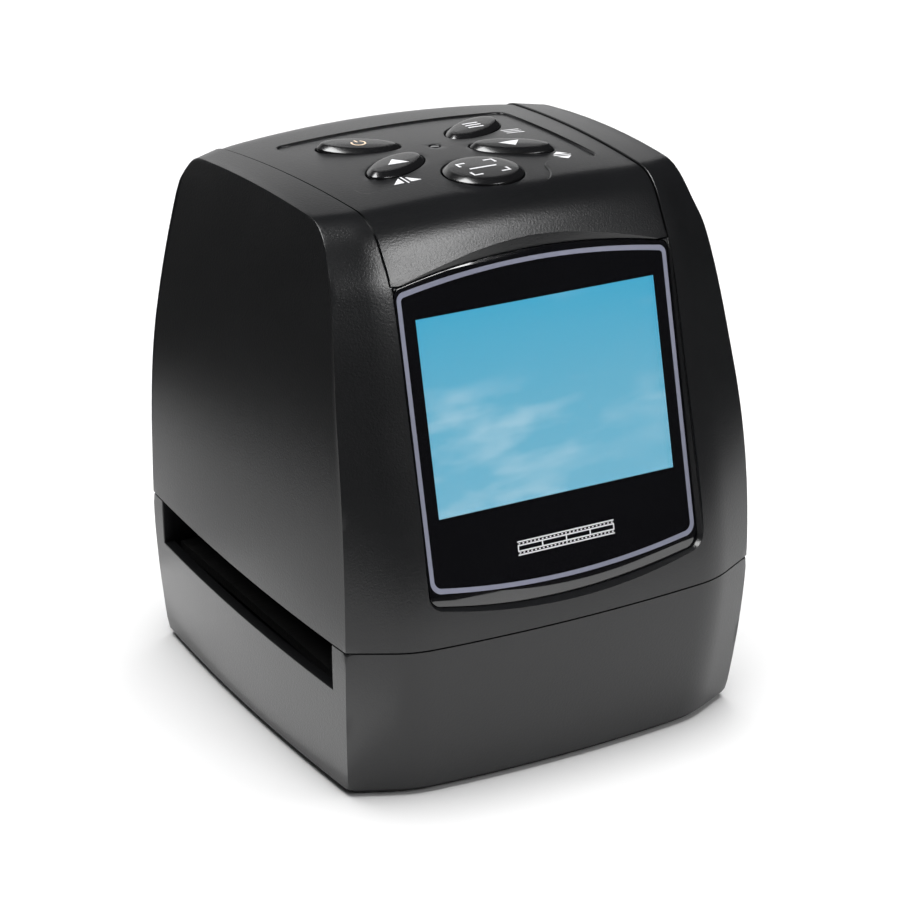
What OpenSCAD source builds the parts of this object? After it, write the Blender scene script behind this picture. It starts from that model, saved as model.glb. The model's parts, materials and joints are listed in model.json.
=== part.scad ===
// Film negative scanner: a leaning-front case over a film slot, a light box
// under the slot and a camera above it. Millimetres, +Z up, front towards -Y,
// origin at the middle of the footprint on the table.

/* [Case] */
// Width across the side corner edges at the parting line
case_w = 84.2; // [83:0.1:86]
// Depth between the front and back soft edges at the parting line
case_d = 89.4; // [88:0.1:91]
// Height of the crown of the top above the table
case_h = 103.4; // [102:0.1:105]
// Height of the parting line above the table
base_h = 29.8; // [29:0.1:30.6]
// Wall thickness of the mouldings
wall = 2.1; // [1.9:0.1:2.4]
// Width across the soft edges of the front at the parting line
front_w = 63; // [62:0.1:64]
// How far the corner faces fall back at the parting line
corner_low = 5.6; // [5:0.1:6]
// How far the corner faces fall back at the screen and above
corner_high = 3; // [2.6:0.1:3.4]
// How far the front and the back bow out in the middle
front_crown = 1.65; // [1:0.05:2]
// How far each side panel bows out in the middle
side_crown = 1.4; // [0.8:0.1:1.8]
// How far each side leans in at the top
side_lean = 6.3; // [5.5:0.1:7]
// How far the top falls from its crown to the sides
side_fall = 1.85; // [1.4:0.05:2.2]
// How far the base tucks in at its foot, front and back
foot_tuck = 2.95; // [2:0.05:3.4]
// How far the base tucks in at its foot, at the sides
side_tuck = 1.8; // [1:0.1:2.2]
// Groove left open at the parting line
groove = 0.3; // [0.2:0.05:0.4]
// Gap between the band, the rear panel and the upper case
seam = 0.25; // [0.2:0.05:0.3]
// Half width of the band at the brow
band_front = 28.1; // [27.9:0.1:28.6]
// Half width of the band at the back
band_back = 30.9; // [30:0.1:31.2]
// How far the band lies below the cheeks
band_sink = 0.3; // [0.2:0.05:0.4]
// Height of the seam between the band and the rear panel
rear_seam = 62; // [60:0.5:64]

/* [Brow and back] */
// Drop from the crown to the lower edge of the brow
brow_drop = 12.1; // [11.5:0.1:12.6]
// Distance from the middle plane forward to the brow's lower edge
brow_y = 29.2; // [28.6:0.1:29.8]
// Rise of the brow: millimetres back for each one up
brow_slope = 0.51; // [0.45:0.01:0.56]
// Distance from the middle plane forward to the front at the screen's middle
chest_y = 36.2; // [35.8:0.1:36.6]
// Drop from the crown to the start of the round at the back
nape_drop = 9.2; // [8.6:0.1:10]
// Distance from the middle plane back to the start of that round
nape_y = 36.9; // [36:0.1:37.4]
// Length of the tangents of the round over the brow
brow_round = 5.5; // [4.5:0.1:6.5]
// Length of the tangents of the round at the back
back_round = 7; // [6:0.1:8]

/* [Screen] */
// Height of the screen's middle above the parting line
screen_rise = 38.7; // [38.2:0.1:39.2]
// Lean of the screen from upright, in degrees
screen_lean = 14.93; // [14:0.1:16]
// How deep the window's middle lies behind the soft edges
pane_sink = 0.95; // [0.7:0.05:1.2]
// Border of the window beside the screen panel
pane_border = 1.75; // [1.2:0.05:2]
// Window's top corners above the screen's middle
pane_top = 23; // [22.5:0.1:23.4]
// Window's bottom corners below the screen's middle
pane_bottom = 32.1; // [31.4:0.1:32.6]
// Rise of the arch of the window's top and bottom edges
pane_arch = 3.1; // [2.4:0.1:3.6]
// Thickness of the window
pane_t = 1.2; // [1:0.1:1.4]
// Thickness of the adhesive frame under the window
tape_t = 0.2; // [0.15:0.05:0.3]
// Thickness of the ledge that carries the window
ledge_t = 1.4; // [1.2:0.1:1.6]
// Flare of the recess round the window, in degrees
flare = 29; // [20:1:34]
// Width of the screen panel
panel_w = 52; // [51:0.1:52.3]
// Height of the screen panel
panel_l = 38.6; // [38:0.1:39]
// Thickness of the screen panel
panel_t = 1.6; // [1.4:0.1:1.8]

/* [Film slot] */
// Height of the film slot's lower edge above the table
slot_z = 20.9; // [20.5:0.1:21.3]
// Half length of the film slot, front to back
slot_half = 34.5; // [34:0.1:34.6]
// Width of the picture gate along the film
gate_w = 38; // [36:0.5:39]
// Height of the picture gate across the film
gate_l = 26; // [24:0.5:27]
// Thickness of the film deck
deck_t = 1.8; // [1.6:0.1:2]
// Thickness of the upper film guide
guide_t = 2; // [1.8:0.1:2.2]

/* [Buttons] */
// Half length of the four leaf buttons' holes
leaf_a = 7.8; // [7.4:0.1:8]
// Half width of the four leaf buttons' holes
leaf_b = 4.1; // [3.8:0.1:4.3]
// Distance of the leaf buttons from the status light
leaf_reach = 13.85; // [13.4:0.05:14.2]
// Turn of the leaf buttons from the left-right line, in degrees
leaf_turn = 30; // [28:0.5:32]
// Place of the status light behind the middle plane
light_y = 5.3; // [4.8:0.1:5.8]
// Radius of the scan button's hole
scan_r = 7.45; // [7:0.05:7.7]
// Distance of the scan button in front of the middle plane
scan_y = 11.8; // [11.4:0.1:12.2]
// Gap round a button cap in its hole
cap_gap = 0.25; // [0.2:0.05:0.35]
// How far a button cap stands above the deck
cap_rise = 0.9; // [0.7:0.05:1.2]
// Travel of a button
travel = 0.5; // [0.3:0.05:0.6]
// Depth of the sunk field round the buttons
field_sink = 0.35; // [0.2:0.05:0.5]
// Half width of the sunk field
field_half_w = 24; // [23:0.1:24.6]
// Radius of the field's bulge round the scan button
bulge_r = 11.8; // [11:0.1:12.4]

/* [Fasteners and feet] */
// Radius of the long case screws
case_screw_r = 1.3; // [1.2:0.05:1.4]
// Radius of the small screws
small_screw_r = 1; // [0.9:0.05:1.1]
// Play of a screw in its hole
screw_play = 0.05; // [0.04:0.01:0.1]
// Radius of a rubber foot
foot_r = 4; // [3.5:0.1:4.5]
// How far the rubber feet stand below the bottom cover
foot_out = 0.5; // [0.4:0.1:0.8]

/* [Sockets] */
// Radius of the TV socket's bore
jack_r = 1.8; // [1.78:0.01:1.85]
// Depth of the TV socket's bore
jack_l = 10; // [9:0.1:10.5]
// Distance of the USB and TV sockets from the middle
socket_x = 19; // [18.6:0.1:19.4]

/* [Lens] */
// Radius of the lens barrel
barrel_r = 6; // [5.6:0.1:6.4]
// Length of the lens barrel
barrel_l = 12.6; // [12.2:0.1:12.8]
// Height of the sensor board above the film guide
sensor_rise = 34; // [33:0.5:36]

/* [Hidden] */

$fn = 48;
close = 0.1;          // gap between pieces that only rest on each other
cut = 1;              // how far a cut runs past a face
base_foot = 1.5;      // height of the base casing's lower edge
charcoal = "#34363a";
black = "#17181a";
board_green = "#1f5a3a";
steel = "#b9bcc0";

// ---------------------------------------------------------------- helpers
function mix(a, b, t) = a + (b - a) * t;
function clamp(t, low, high) = max(low, min(high, t));
function smooth(t) = let (u = clamp(t, 0, 1)) u * u * (3 - 2 * u);
function last(list) = list[len(list) - 1];
// Curve through two knots [height, reach, slope]
function span(k0, k1, z) = let (h = k1[0] - k0[0], t = (z - k0[0]) / h)
    (1 - 3 * t * t + 2 * pow(t, 3)) * k0[1] + (3 * t * t - 2 * pow(t, 3)) * k1[1]
    + t * pow(1 - t, 2) * h * k0[2] + t * t * (t - 1) * h * k1[2];
function bend(p, c, q, t) = p * pow(1 - t, 2) + c * 2 * t * (1 - t) + q * t * t;

// ------------------------------------------------------- outer form of the case
mid_z = base_h + screen_rise;
brow_z = case_h - brow_drop;
nape_z = case_h - nape_drop;
tuck_power = 1.7;
function rise(z) = max(0, (z - base_h) / (case_h - base_h));
function sunk(z) = pow(max(0, 1 - z / base_h), tuck_power);
// Half width at the corner edges, and at the soft edges of the front
function half_w(z, w) = case_w / 2 - side_lean * pow(rise(z), 2.15) - side_tuck * sunk(z) - w;
function corner(z) = mix(corner_low, corner_high, smooth(2 * rise(z))) - 0.7 * sunk(z);
corner_angle = atan(corner_low / (case_w / 2 - front_w / 2));
function soft_x(z, w) = front_w / 2 - 2 * pow(rise(z), 2) - 1.95 * sunk(z)
    - w * tan(corner_angle / 2);
function pull(z, w) = corner(z) - w * (1 - tan(45 - corner_angle / 2));
// Front and back at the soft edges
front_knots = [[base_h, case_d / 2, -0.02], [mid_z, chest_y, -0.29], [brow_z, brow_y, -0.42]];
back_knots = [[base_h, case_d / 2, 0], [mid_z, case_d / 2 - 3.2, -0.14], [nape_z, nape_y, -0.2]];
function front_y(z, w) = w * 1.05 - (z < base_h ? case_d / 2 - foot_tuck * sunk(z)
    : z < mid_z ? span(front_knots[0], front_knots[1], z)
    : z < brow_z ? span(front_knots[1], front_knots[2], z)
    : brow_y - brow_slope * (z - brow_z));
function back_y(z, w) = (z < base_h ? case_d / 2 - foot_tuck * sunk(z)
    : z < mid_z ? span(back_knots[0], back_knots[1], z)
    : z < nape_z ? span(back_knots[1], back_knots[2], z)
    : nape_y - 0.2 * (z - nape_z)) - w;
// The top: crowned front to back and falling a little to the rear
top_tilt = 0.0153;
top_bow = 0.001633;
function top_z(y, w) = case_h - top_tilt * y - top_bow * y * y - w;
function fall(x, z) = side_fall * pow(x / (case_w / 2 - side_lean), 2)
    * smooth((z - brow_z) / (case_h - 4 - brow_z));
// Rounded corner points of the side profile: [start, control, end]
function brow_corner(w) = let (z = top_z(6.3 - brow_y, w), y = front_y(z, w))
    [[y - brow_slope * brow_round, z - brow_round], [y, z],
     [y + brow_round, top_z(y + brow_round, w)]];
function back_corner(w) = let (z = top_z(nape_y - 1.4, w), y = back_y(z, w))
    [[y + 0.2 * back_round, z - back_round], [y, z], [y - back_round, top_z(y - back_round, w)]];
front_rows = 11;
corner_steps = 4;
top_steps = 8;
row_count = front_rows + corner_steps / 2;
// Side profile from the front's foot over the top to the back's foot: [y, z]
function profile(w, z0) = let (b = brow_corner(w), r = back_corner(w)) concat(
    [for (i = [0:front_rows - 1]) let (z = mix(z0, b[0][1], i / front_rows)) [front_y(z, w), z]],
    [for (i = [0:corner_steps - 1]) bend(b[0], b[1], b[2], i / corner_steps)],
    [for (i = [0:top_steps]) let (y = mix(b[2][0], r[2][0], i / top_steps)) [y, top_z(y, w)]],
    [for (i = [1:corner_steps]) bend(r[2], r[1], r[0], i / corner_steps)],
    [for (i = [1:front_rows]) let (z = mix(r[0][1], z0, i / front_rows)) [back_y(z, w), z]]);

// Stations across the front: the two corner edges, and the soft part between
soft_steps = 8;
stations = concat([-2], [for (i = [0:soft_steps]) 2 * i / soft_steps - 1], [2]);
top_mid = (nape_y - brow_y) / 2 + 2.4;
top_half = (nape_y + brow_y) / 2 - 4;
function wrap_point(p, k, w) = let (
    z = p[1],
    lean = clamp((p[0] - top_mid) / top_half, -1, 1),
    soft = abs(k) <= 1,
    x = soft ? k * soft_x(z, w) : sign(k) * half_w(z - side_fall * rise(z), w),
    out = soft ? front_crown * (1 - k * k) : -pull(z, w))
    [x, p[0] + lean * out, z - fall(x, z)];
// Side panel point between the front and the back end of a row
function panel_point(f, b, u, lift, side, w) = let (z = mix(f[2], b[2], u) + lift)
    [side * (half_w(z, w) + side_crown * (1 - 0.5 * rise(z)) * 4 * u * (1 - u)), mix(f[1], b[1], u), z];
// One closed ring of points: front, right side, back, left side
function ring(front, back, shares, lifts, w) = let (
    fr = wrap_point(front, 2, w), br = wrap_point(back, 2, w),
    fl = wrap_point(front, -2, w), bl = wrap_point(back, -2, w), n = len(shares))
    concat([for (k = stations) wrap_point(front, k, w)],
        [for (c = [1:n - 2]) panel_point(fr, br, shares[c], lifts[c], 1, w)],
        [for (i = [len(stations) - 1:-1:0]) wrap_point(back, stations[i], w)],
        [for (c = [n - 2:-1:1]) panel_point(fl, bl, shares[c], lifts[c], -1, w)]);
// Shares of the depth at which the side panels' columns stand
edge_profile = profile(0, base_h);
top_edge = [for (i = [row_count:len(edge_profile) - 1 - row_count]) wrap_point(edge_profile[i], 2, 0)];
shares = [for (p = top_edge) (p[1] - top_edge[0][1]) / (last(top_edge)[1] - top_edge[0][1])];
no_lift = [for (s = shares) 0];

function tri(a, b, c, d) = [[a, b, c], [a, c, d]];
function ring_faces(n, rows) = [for (r = [0:rows - 1]) for (i = [0:n - 1]) let (j = (i + 1) % n)
    for (f = tri((r + 1) * n + i, (r + 1) * n + j, r * n + j, r * n + i)) f];

// Solid upper form, its faces moved in by w, from height z0 up
module upper_form(w, z0) {
    p = profile(w, z0);
    m = len(p) - 1;
    edge = [for (i = [row_count:m - row_count]) wrap_point(p[i], 2, w)];
    arch = [for (i = [0:len(edge) - 1]) edge[i][2] - mix(edge[0][2], last(edge)[2], shares[i])];
    rings = [for (r = [0:row_count]) ring(p[r], p[m - r], shares,
        arch * pow(r / row_count, 5), w)];
    n = len(rings[0]);
    ns = len(stations);
    nc = len(shares) - 1;
    inner = [for (c = [1:nc - 1]) for (k = [1:ns - 2]) wrap_point(p[row_count + c], stations[k], w)];
    points = concat([for (r = rings) for (q = r) q], inner);
    // Index of a point of the top: its edge points belong to the last ring
    top0 = row_count * n;
    function at(c, k) = c == 0 ? top0 + k
        : c == nc ? top0 + 2 * ns + nc - 2 - k
        : k == ns - 1 ? top0 + ns + c - 1
        : k == 0 ? top0 + n - c
        : (row_count + 1) * n + (c - 1) * (ns - 2) + k - 1;
    faces = concat([[for (i = [0:n - 1]) i]], ring_faces(n, row_count),
        [for (c = [0:nc - 1]) for (k = [0:ns - 2])
            for (f = tri(at(c + 1, k), at(c + 1, k + 1), at(c, k + 1), at(c, k))) f]);
    polyhedron(points, faces, convexity = 6);
}

// Solid base form, its faces moved in by w, between two heights
module base_form(w, z0, z1) {
    rows = 4;
    rings = [for (r = [0:rows]) let (z = mix(z0, z1, r / rows))
        ring([front_y(z, w), z], [back_y(z, w), z], shares, no_lift, w)];
    n = len(rings[0]);
    points = [for (r = rings) for (q = r) q];
    faces = concat([[for (i = [0:n - 1]) i]], ring_faces(n, rows),
        [[for (i = [n - 1:-1:0]) rows * n + i]]);
    polyhedron(points, faces, convexity = 4);
}

// Plan of the band, w wider on each side
module band_plan(w) {
    polygon([[-band_front - w, -case_d], [band_front + w, -case_d], [band_front + w, -brow_y],
        [band_back + w, nape_y - 8], [band_back + w, case_d], [-band_back - w, case_d],
        [-band_back - w, nape_y - 8], [-band_front - w, -brow_y]]);
}
// Space of the band: above the screen's top corners, and above the rear seam at the back
module band_space(w) {
    translate([0, 0, brow_z - w]) linear_extrude(case_h) band_plan(w);
    translate([0, 0, rear_seam - w]) linear_extrude(case_h)
        intersection() { band_plan(w); translate([-case_w, 0]) square([2 * case_w, case_d]); }
}
// Space of the rear panel
module rear_space(w) {
    translate([0, 0, base_h - cut]) linear_extrude(rear_seam - base_h + cut + w)
        intersection() { band_plan(w); translate([-case_w, 10]) square([2 * case_w, case_d]); }
}

// ------------------------------------------------------------- window and its frame
pane_y = -chest_y + pane_sink;
pane_half_w = panel_w / 2 + pane_border;
// Places children on the window: X across, Y up along it, Z out of its front
module on_window(depth = 0) {
    translate([0, pane_y, mid_z]) rotate([90 - screen_lean, 0, 0]) translate([0, 0, -depth])
        children();
}
function window_point(across, up, depth) = [across,
    pane_y + up * sin(screen_lean) + depth * cos(screen_lean),
    mid_z + up * cos(screen_lean) - depth * sin(screen_lean)];
function arc_points(centre, r, a0, a1) = [for (i = [0:4]) let (a = mix(a0, a1, i / 4))
    centre + r * [cos(a), sin(a)]];
// Outline of the window, g wider all round
module window_outline(g) {
    hw = pane_half_w + g;
    function arch(x) = pane_arch * (1 - pow(x / hw, 2));
    rt = 1.4 + g;
    rb = 2.4 + g;
    top = pane_top + g;
    low = -pane_bottom - g;
    xt = hw - rt;
    xb = hw - rb;
    polygon(concat(
        [for (i = [0:12]) let (x = mix(-xt, xt, i / 12)) [x, top + arch(x)]],
        arc_points([xt, top + arch(xt) - rt], rt, 75, 0),
        arc_points([xb, low - arch(xb) + rb], rb, 0, -75),
        [for (i = [0:12]) let (x = mix(xb, -xb, i / 12)) [x, low - arch(x)]],
        arc_points([-xb, low - arch(xb) + rb], rb, -105, -180),
        arc_points([-xt, top + arch(xt) - rt], rt, 180, 105)));
}
ledge_back = pane_t + tape_t + ledge_t;
window_gap = 0.15;              // gap round the window in its recess
surround_t = 1.8;               // material round the window's recess
// Material that carries the window
module window_surround() {
    intersection() {
        upper_form(0, base_h + groove / 2);
        on_window(ledge_back) linear_extrude(12) window_outline(surround_t);
    }
}
// The recess for the window, its flare and the opening for the screen
module window_cuts() {
    on_window(pane_t + tape_t) linear_extrude(pane_t + tape_t + 0.02) window_outline(window_gap);
    on_window(0) hull() {
        linear_extrude(0.01) window_outline(window_gap);
        translate([0, 0, 6]) linear_extrude(0.01) window_outline(window_gap + 6 * tan(flare));
    }
    on_window(ledge_back + cut) linear_extrude(ledge_back + cut) screen_opening(0);
}
// Opening for the screen panel in the ledge
opening_play = 0.3;
module screen_opening(g) {
    square([panel_w + 2 * (opening_play + g), panel_l + 2 * (opening_play + g)], center = true);
}

// ------------------------------------------------------------------ screws and posts
head_h = 1.3;
module screw(r, length, head_r) {
    cylinder(r = r, h = length);
    translate([0, 0, -head_h]) difference() {
        cylinder(r = head_r, h = head_h);
        translate([0, 0, -cut]) for (a = [0, 90]) rotate(a)
            translate([-head_r * 0.6, -0.3, 0]) cube([head_r * 1.2, 0.6, cut + 0.6]);
    }
}
module screw_hole(length) { cylinder(r = small_screw_r + screw_play, h = length); }
module at_each(places) { for (p = places) translate(p) children(); }
function four(x, y) = [for (sx = [-1, 1]) for (sy = [-1, 1]) [sx * x, sy * y, 0]];
case_head_r = 2;
post_r = 3;
post_access_r = 2.2;
post_seat = 22;                        // height at which the case screws' heads bear
case_screw_l = 14;
post_places = four(27, slot_half + 3.7);
cover_screw_places = four(case_w / 2 - 7.1, 12);
small_head_r = 1.9;

// =============================================================== casing
lid_top = base_h + groove / 2;
channel_wall = 1.6;
guide_z = base_h - 0.05;               // underside of the upper film guide
boss_z = guide_z + guide_t + close;    // foot of the bosses that clamp the guide
tab_z = case_h - 8.4;                  // top of the tabs that carry the band
tab_t = 2;
tab_places = [for (sx = [-1, 1]) for (y = [-11, 20]) [sx * 26.4, y, 0]];
tab_rise = 9;                          // length of a tab's web up to the cheek
bracket_x = panel_w / 2 + 5.6;
bracket_rows = [-20, 14];
bracket_places = [for (sx = [-1, 1]) for (w = bracket_rows) [sx * bracket_x, w, 0]];
bracket_t = 1.2;
bracket_depth = ledge_back + 2.5;      // front face of the display bracket
boss_h = 9;
// Webs from the bosses out to the side walls
module boss_webs() {
    for (p = post_places) translate([p[0] < 0 ? -case_w / 2 : p[0], p[1] - web_t / 2, web_z])
        cube([case_w / 2 - abs(p[0]), web_t, boss_z + boss_h - web_z]);
}
module upper_case() {
    color(charcoal) difference() {
        union() {
            difference() {
                union() {
                    difference() { upper_form(0, lid_top); upper_form(wall, base_h - cut); }
                    window_surround();
                }
                band_space(seam / 2);
                rear_space(seam / 2);
                window_cuts();
            }
            // Bosses over the base's posts, clear of the rear panel
            intersection() {
                upper_form(wall + 2 * close, lid_top);
                union() {
                    at_each(post_places) translate([0, 0, boss_z]) cylinder(r = post_r, h = boss_h);
                    boss_webs();
                }
            }
            // Tabs under the cheeks that carry the band
            for (p = tab_places) translate([sign(p[0]) * 28.8 - 5, p[1] - 2.6, tab_z - tab_t])
                cube([10, 5.2, tab_t]);
            // What runs into the walls: the webs, the tabs' uprights, and the
            // bosses behind the front for the display bracket
            intersection() {
                upper_form(wall / 2, lid_top);
                union() {
                    difference() { boss_webs(); rear_space(4 * close); }
                    for (p = tab_places) translate([sign(p[0]) * 32.6 - 1.2, p[1] - 2.6, tab_z - tab_t])
                        cube([2.4, 5.2, tab_rise]);
                    on_window(bracket_depth - close) at_each(bracket_places) cylinder(r = 2.2, h = 8);
                }
            }
        }
        at_each(post_places) translate([0, 0, boss_z - cut])
            cylinder(r = case_screw_r + screw_play, h = boss_h - 2 + cut);
        at_each(tab_places) translate([0, 0, tab_z - tab_t - cut]) screw_hole(tab_t + 2 * cut);
        on_window(bracket_depth + cut) at_each(bracket_places)
            screw_hole(4.2);
    }
}

deck_under = case_h - 3.4;             // flat underside of the button deck
light_place = [0, light_y, 0];
scan_place = [0, -scan_y, 0];
function leaf_place(side, end) = [side * leaf_reach * cos(leaf_turn),
    light_y + end * leaf_reach * sin(leaf_turn), 0];
function leaf_angle(side, end) = side * end * leaf_turn;
function leaf_points(g) = [for (i = [0:39]) [(leaf_a + g) * cos(9 * i), (leaf_b + g) * sin(9 * i)]];
module leaf(g) { polygon(leaf_points(g)); }
leaves = [for (side = [-1, 1]) for (end = [1, -1]) [side, end]];
field_back = 22;                       // back edge of the sunk field
module field_plan() {
    translate([-field_half_w, -scan_y]) square([2 * field_half_w, field_back + scan_y]);
    translate([0, -scan_y]) circle(r = bulge_r);
}
board_screw_places = [[-20.5, light_y, 0], [20.5, light_y, 0], [-12.5, -17, 0], [12.5, -17, 0]];
pipe_r = 1;
pipe_play = 0.1;
button_board_z = case_h - 9.6;         // underside of the button board
button_board_t = 1.6;
module top_band() {
    color(charcoal) difference() {
        union() {
            intersection() {
                band_space(-seam / 2);
                difference() {
                    union() {
                        difference() {
                            upper_form(band_sink, rear_seam - cut);
                            upper_form(wall, base_h - cut);
                        }
                        window_surround();
                        // Flat deck under the buttons
                        intersection() {
                            upper_form(band_sink, deck_under);
                            translate([-22, -21, deck_under - 1]) cube([44, 42, 9]);
                            translate([-50, -50, deck_under]) cube([100, 100, 9]);
                        }
                    }
                    window_cuts();
                }
            }
            // Bosses for the button board and for the band screws
            at_each(board_screw_places)
                translate([0, 0, button_board_z + button_board_t + close])
                cylinder(r = 2.2, h = deck_under - button_board_z - button_board_t);
            intersection() {
                upper_form(wall / 2, rear_seam);
                at_each(tab_places) translate([0, 0, tab_z + close]) cylinder(r = 2.2, h = 9);
            }
        }
        // Sunk field
        difference() {
            translate([0, 0, deck_under]) linear_extrude(9) field_plan();
            translate([0, 0, -field_sink]) upper_form(band_sink, rear_seam);
        }
        // Holes for the buttons and the status light
        for (l = leaves) translate(leaf_place(l[0], l[1])) rotate(leaf_angle(l[0], l[1]))
            translate([0, 0, deck_under - cut]) linear_extrude(9) leaf(0);
        translate(scan_place) translate([0, 0, deck_under - cut]) cylinder(r = scan_r, h = 9);
        translate(light_place) translate([0, 0, deck_under - cut])
            cylinder(r = pipe_r + pipe_play, h = 9);
        at_each(board_screw_places) translate([0, 0, button_board_z])
            screw_hole(5.4);
        at_each(tab_places) translate([0, 0, tab_z - cut])
            screw_hole(4 + cut);
    }
}

socket_board_z = base_h + 3.8;         // underside of the socket board
socket_board_t = 1.6;
socket_floor = socket_board_z + socket_board_t;
jack_z = socket_floor + 3;
web_t = 1.6;
web_z = socket_floor + 4 * close;      // foot of the webs, over the socket board
usb_w = 7.8;
usb_h = 4;
card_w = 28;
card_h = 3.2;
mouth_play = 0.5;                      // play of the sockets in the rear panel
module rear_panel() {
    color(charcoal) difference() {
        intersection() {
            rear_space(-seam / 2);
            difference() { upper_form(0, lid_top); upper_form(wall, base_h - cut); }
        }
        translate([0, slot_half, 0]) {
            translate([-socket_x - usb_w / 2 - mouth_play, 0, socket_floor - mouth_play])
                cube([usb_w + 2 * mouth_play, 20, usb_h + 2 * mouth_play]);
            translate([-card_w / 2 + 1.4, 0, socket_floor]) cube([card_w - 2.8, 20, card_h]);
            translate([socket_x, 0, jack_z]) rotate([-90, 0, 0]) cylinder(r = 3.4, h = 20);
        }
        // Finger notch at the card slot
        translate([0, case_d / 2 + front_crown + 6.6, socket_floor + card_h / 2])
            sphere(r = 8);
    }
}

module base_case() {
    color(charcoal) difference() {
        union() {
            difference() {
                base_form(0, base_foot, base_h - groove / 2);
                base_form(wall, base_foot - cut, base_h + cut);
            }
            intersection() {
                base_form(wall / 2, base_foot, base_h - groove / 2);
                union() {
                    // Walls along both sides of the film channel, with ledges for the deck
                    for (s = [0, 180]) rotate(s) {
                        translate([-case_w / 2, slot_half + close, 12])
                            cube([case_w, channel_wall, base_h - 12 - groove / 2]);
                        translate([-case_w / 2, slot_half - 1.9, slot_z - deck_t - 1.9])
                            cube([case_w, 2.1, 1.6]);
                        for (x = [-30, 0, 30]) translate([x - 0.8, slot_half, 3.2])
                            cube([1.6, case_d / 2 - slot_half, base_h - 3.4]);
                    }
                    at_each(post_places) translate([0, 0, 2.9]) cylinder(r = post_r, h = base_h);
                    at_each(cover_screw_places) translate([0, 0, 2.9]) cylinder(r = 2.6, h = 9);
                    for (p = cover_screw_places) translate([p[0] + (p[0] < 0 ? -8 : 0), p[1] - 0.8, 2.9])
                        cube([8, 1.6, 9]);
                }
            }
        }
        // The film slot, through both sides
        translate([-case_w, -slot_half, slot_z]) cube([2 * case_w, 2 * slot_half, base_h]);
        at_each(post_places) {
            translate([0, 0, base_foot - cut]) cylinder(r = post_access_r, h = post_seat - base_foot + cut);
            translate([0, 0, post_seat - cut]) cylinder(r = case_screw_r + screw_play, h = 9);
        }
        at_each(cover_screw_places) translate([0, 0, 2]) screw_hole(7);
    }
}

cover_inset = 0.9;
cover_z = foot_out;
spigot_top = 2.6;
foot_places = four(32.5, 30);
foot_pocket = 0.6;
light_board_z = 5.2;                   // underside of the light board
light_board_t = 1.6;
light_board_places = four(20.5, 11);
module bottom_cover() {
    color(black) difference() {
        union() {
            base_form(cover_inset, cover_z, base_foot - 0.05);
            base_form(wall + 0.2, cover_z + 0.2, spigot_top);
            at_each(light_board_places) translate([0, 0, spigot_top - 0.4])
                cylinder(r = 2.2, h = light_board_z - spigot_top + 0.4 - 0.02);
        }
        at_each(foot_places) translate([0, 0, cover_z - cut])
            cylinder(r = foot_r + 0.1, h = foot_pocket + cut);
        at_each(post_places) translate([0, 0, -cut]) cylinder(r = post_access_r, h = 9);
        at_each(cover_screw_places) {
            translate([0, 0, -cut]) screw_hole(9);
            translate([0, 0, cover_z - cut]) cylinder(r = small_head_r + 0.1, h = head_h + cut + 0.1);
        }
        at_each(light_board_places) translate([0, 0, cover_z + 0.6])
            screw_hole(9);
        // Vents under the light board
        for (i = [-4:4]) translate([i * 4 - 0.8, -9, -cut]) cube([1.6, 18, 9]);
    }
}
module rubber_feet() {
    color(black) at_each(foot_places) {
        translate([0, 0, 0.4]) cylinder(r = foot_r, h = cover_z + foot_pocket - 0.4);
        cylinder(r1 = foot_r - 0.4, r2 = foot_r, h = 0.4);
    }
}
module case_screws() {
    color(steel) at_each(post_places) translate([0, 0, post_seat])
        screw(case_screw_r, case_screw_l, case_head_r);
}
module cover_screws() {
    color(steel) at_each(cover_screw_places) translate([0, 0, cover_z + head_h + 0.1])
        screw(small_screw_r, 6, small_head_r);
}
module band_screws() {
    color(steel) at_each(tab_places) translate([0, 0, tab_z - tab_t])
        screw(small_screw_r, 5.6, small_head_r);
}

// =============================================================== display
module display_window() {
    color("#0b0c10") on_window(pane_t) linear_extrude(pane_t) window_outline(0);
}
module window_tape() {
    color(black) on_window(pane_t + tape_t) linear_extrude(tape_t) difference() {
        window_outline(-0.2);
        screen_opening(0.1);
    }
}
panel_front = pane_t + 0.3;            // depth of the screen panel's front face
tray_wall = 1;
tray_l = 2.4;
module screen_panel() {
    color("#6fb6d8") on_window(panel_front + panel_t) linear_extrude(panel_t)
        square([panel_w, panel_l], center = true);
    color("#20242a") on_window(panel_front + panel_t + 1.4) linear_extrude(1.4 + 0.01)
        square([panel_w + 2, panel_l + 2], center = true);
}
tray_front = ledge_back + close;
module screen_tray() {
    outer = [panel_w + 2 + 2 * (tray_wall + close), panel_l + 2 + 2 * (tray_wall + close)];
    color(steel) difference() {
        on_window(tray_front + tray_l) linear_extrude(tray_l) square(outer, center = true);
        on_window(tray_front + tray_l - 0.6) linear_extrude(tray_l)
            square([panel_w + 2 + 2 * close, panel_l + 2 + 2 * close], center = true);
        on_window(tray_front + tray_l + cut) linear_extrude(tray_l + cut) translate([0, -panel_l / 2 - 1.4])
            square([22, 3.4], center = true);
    }
}
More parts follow.
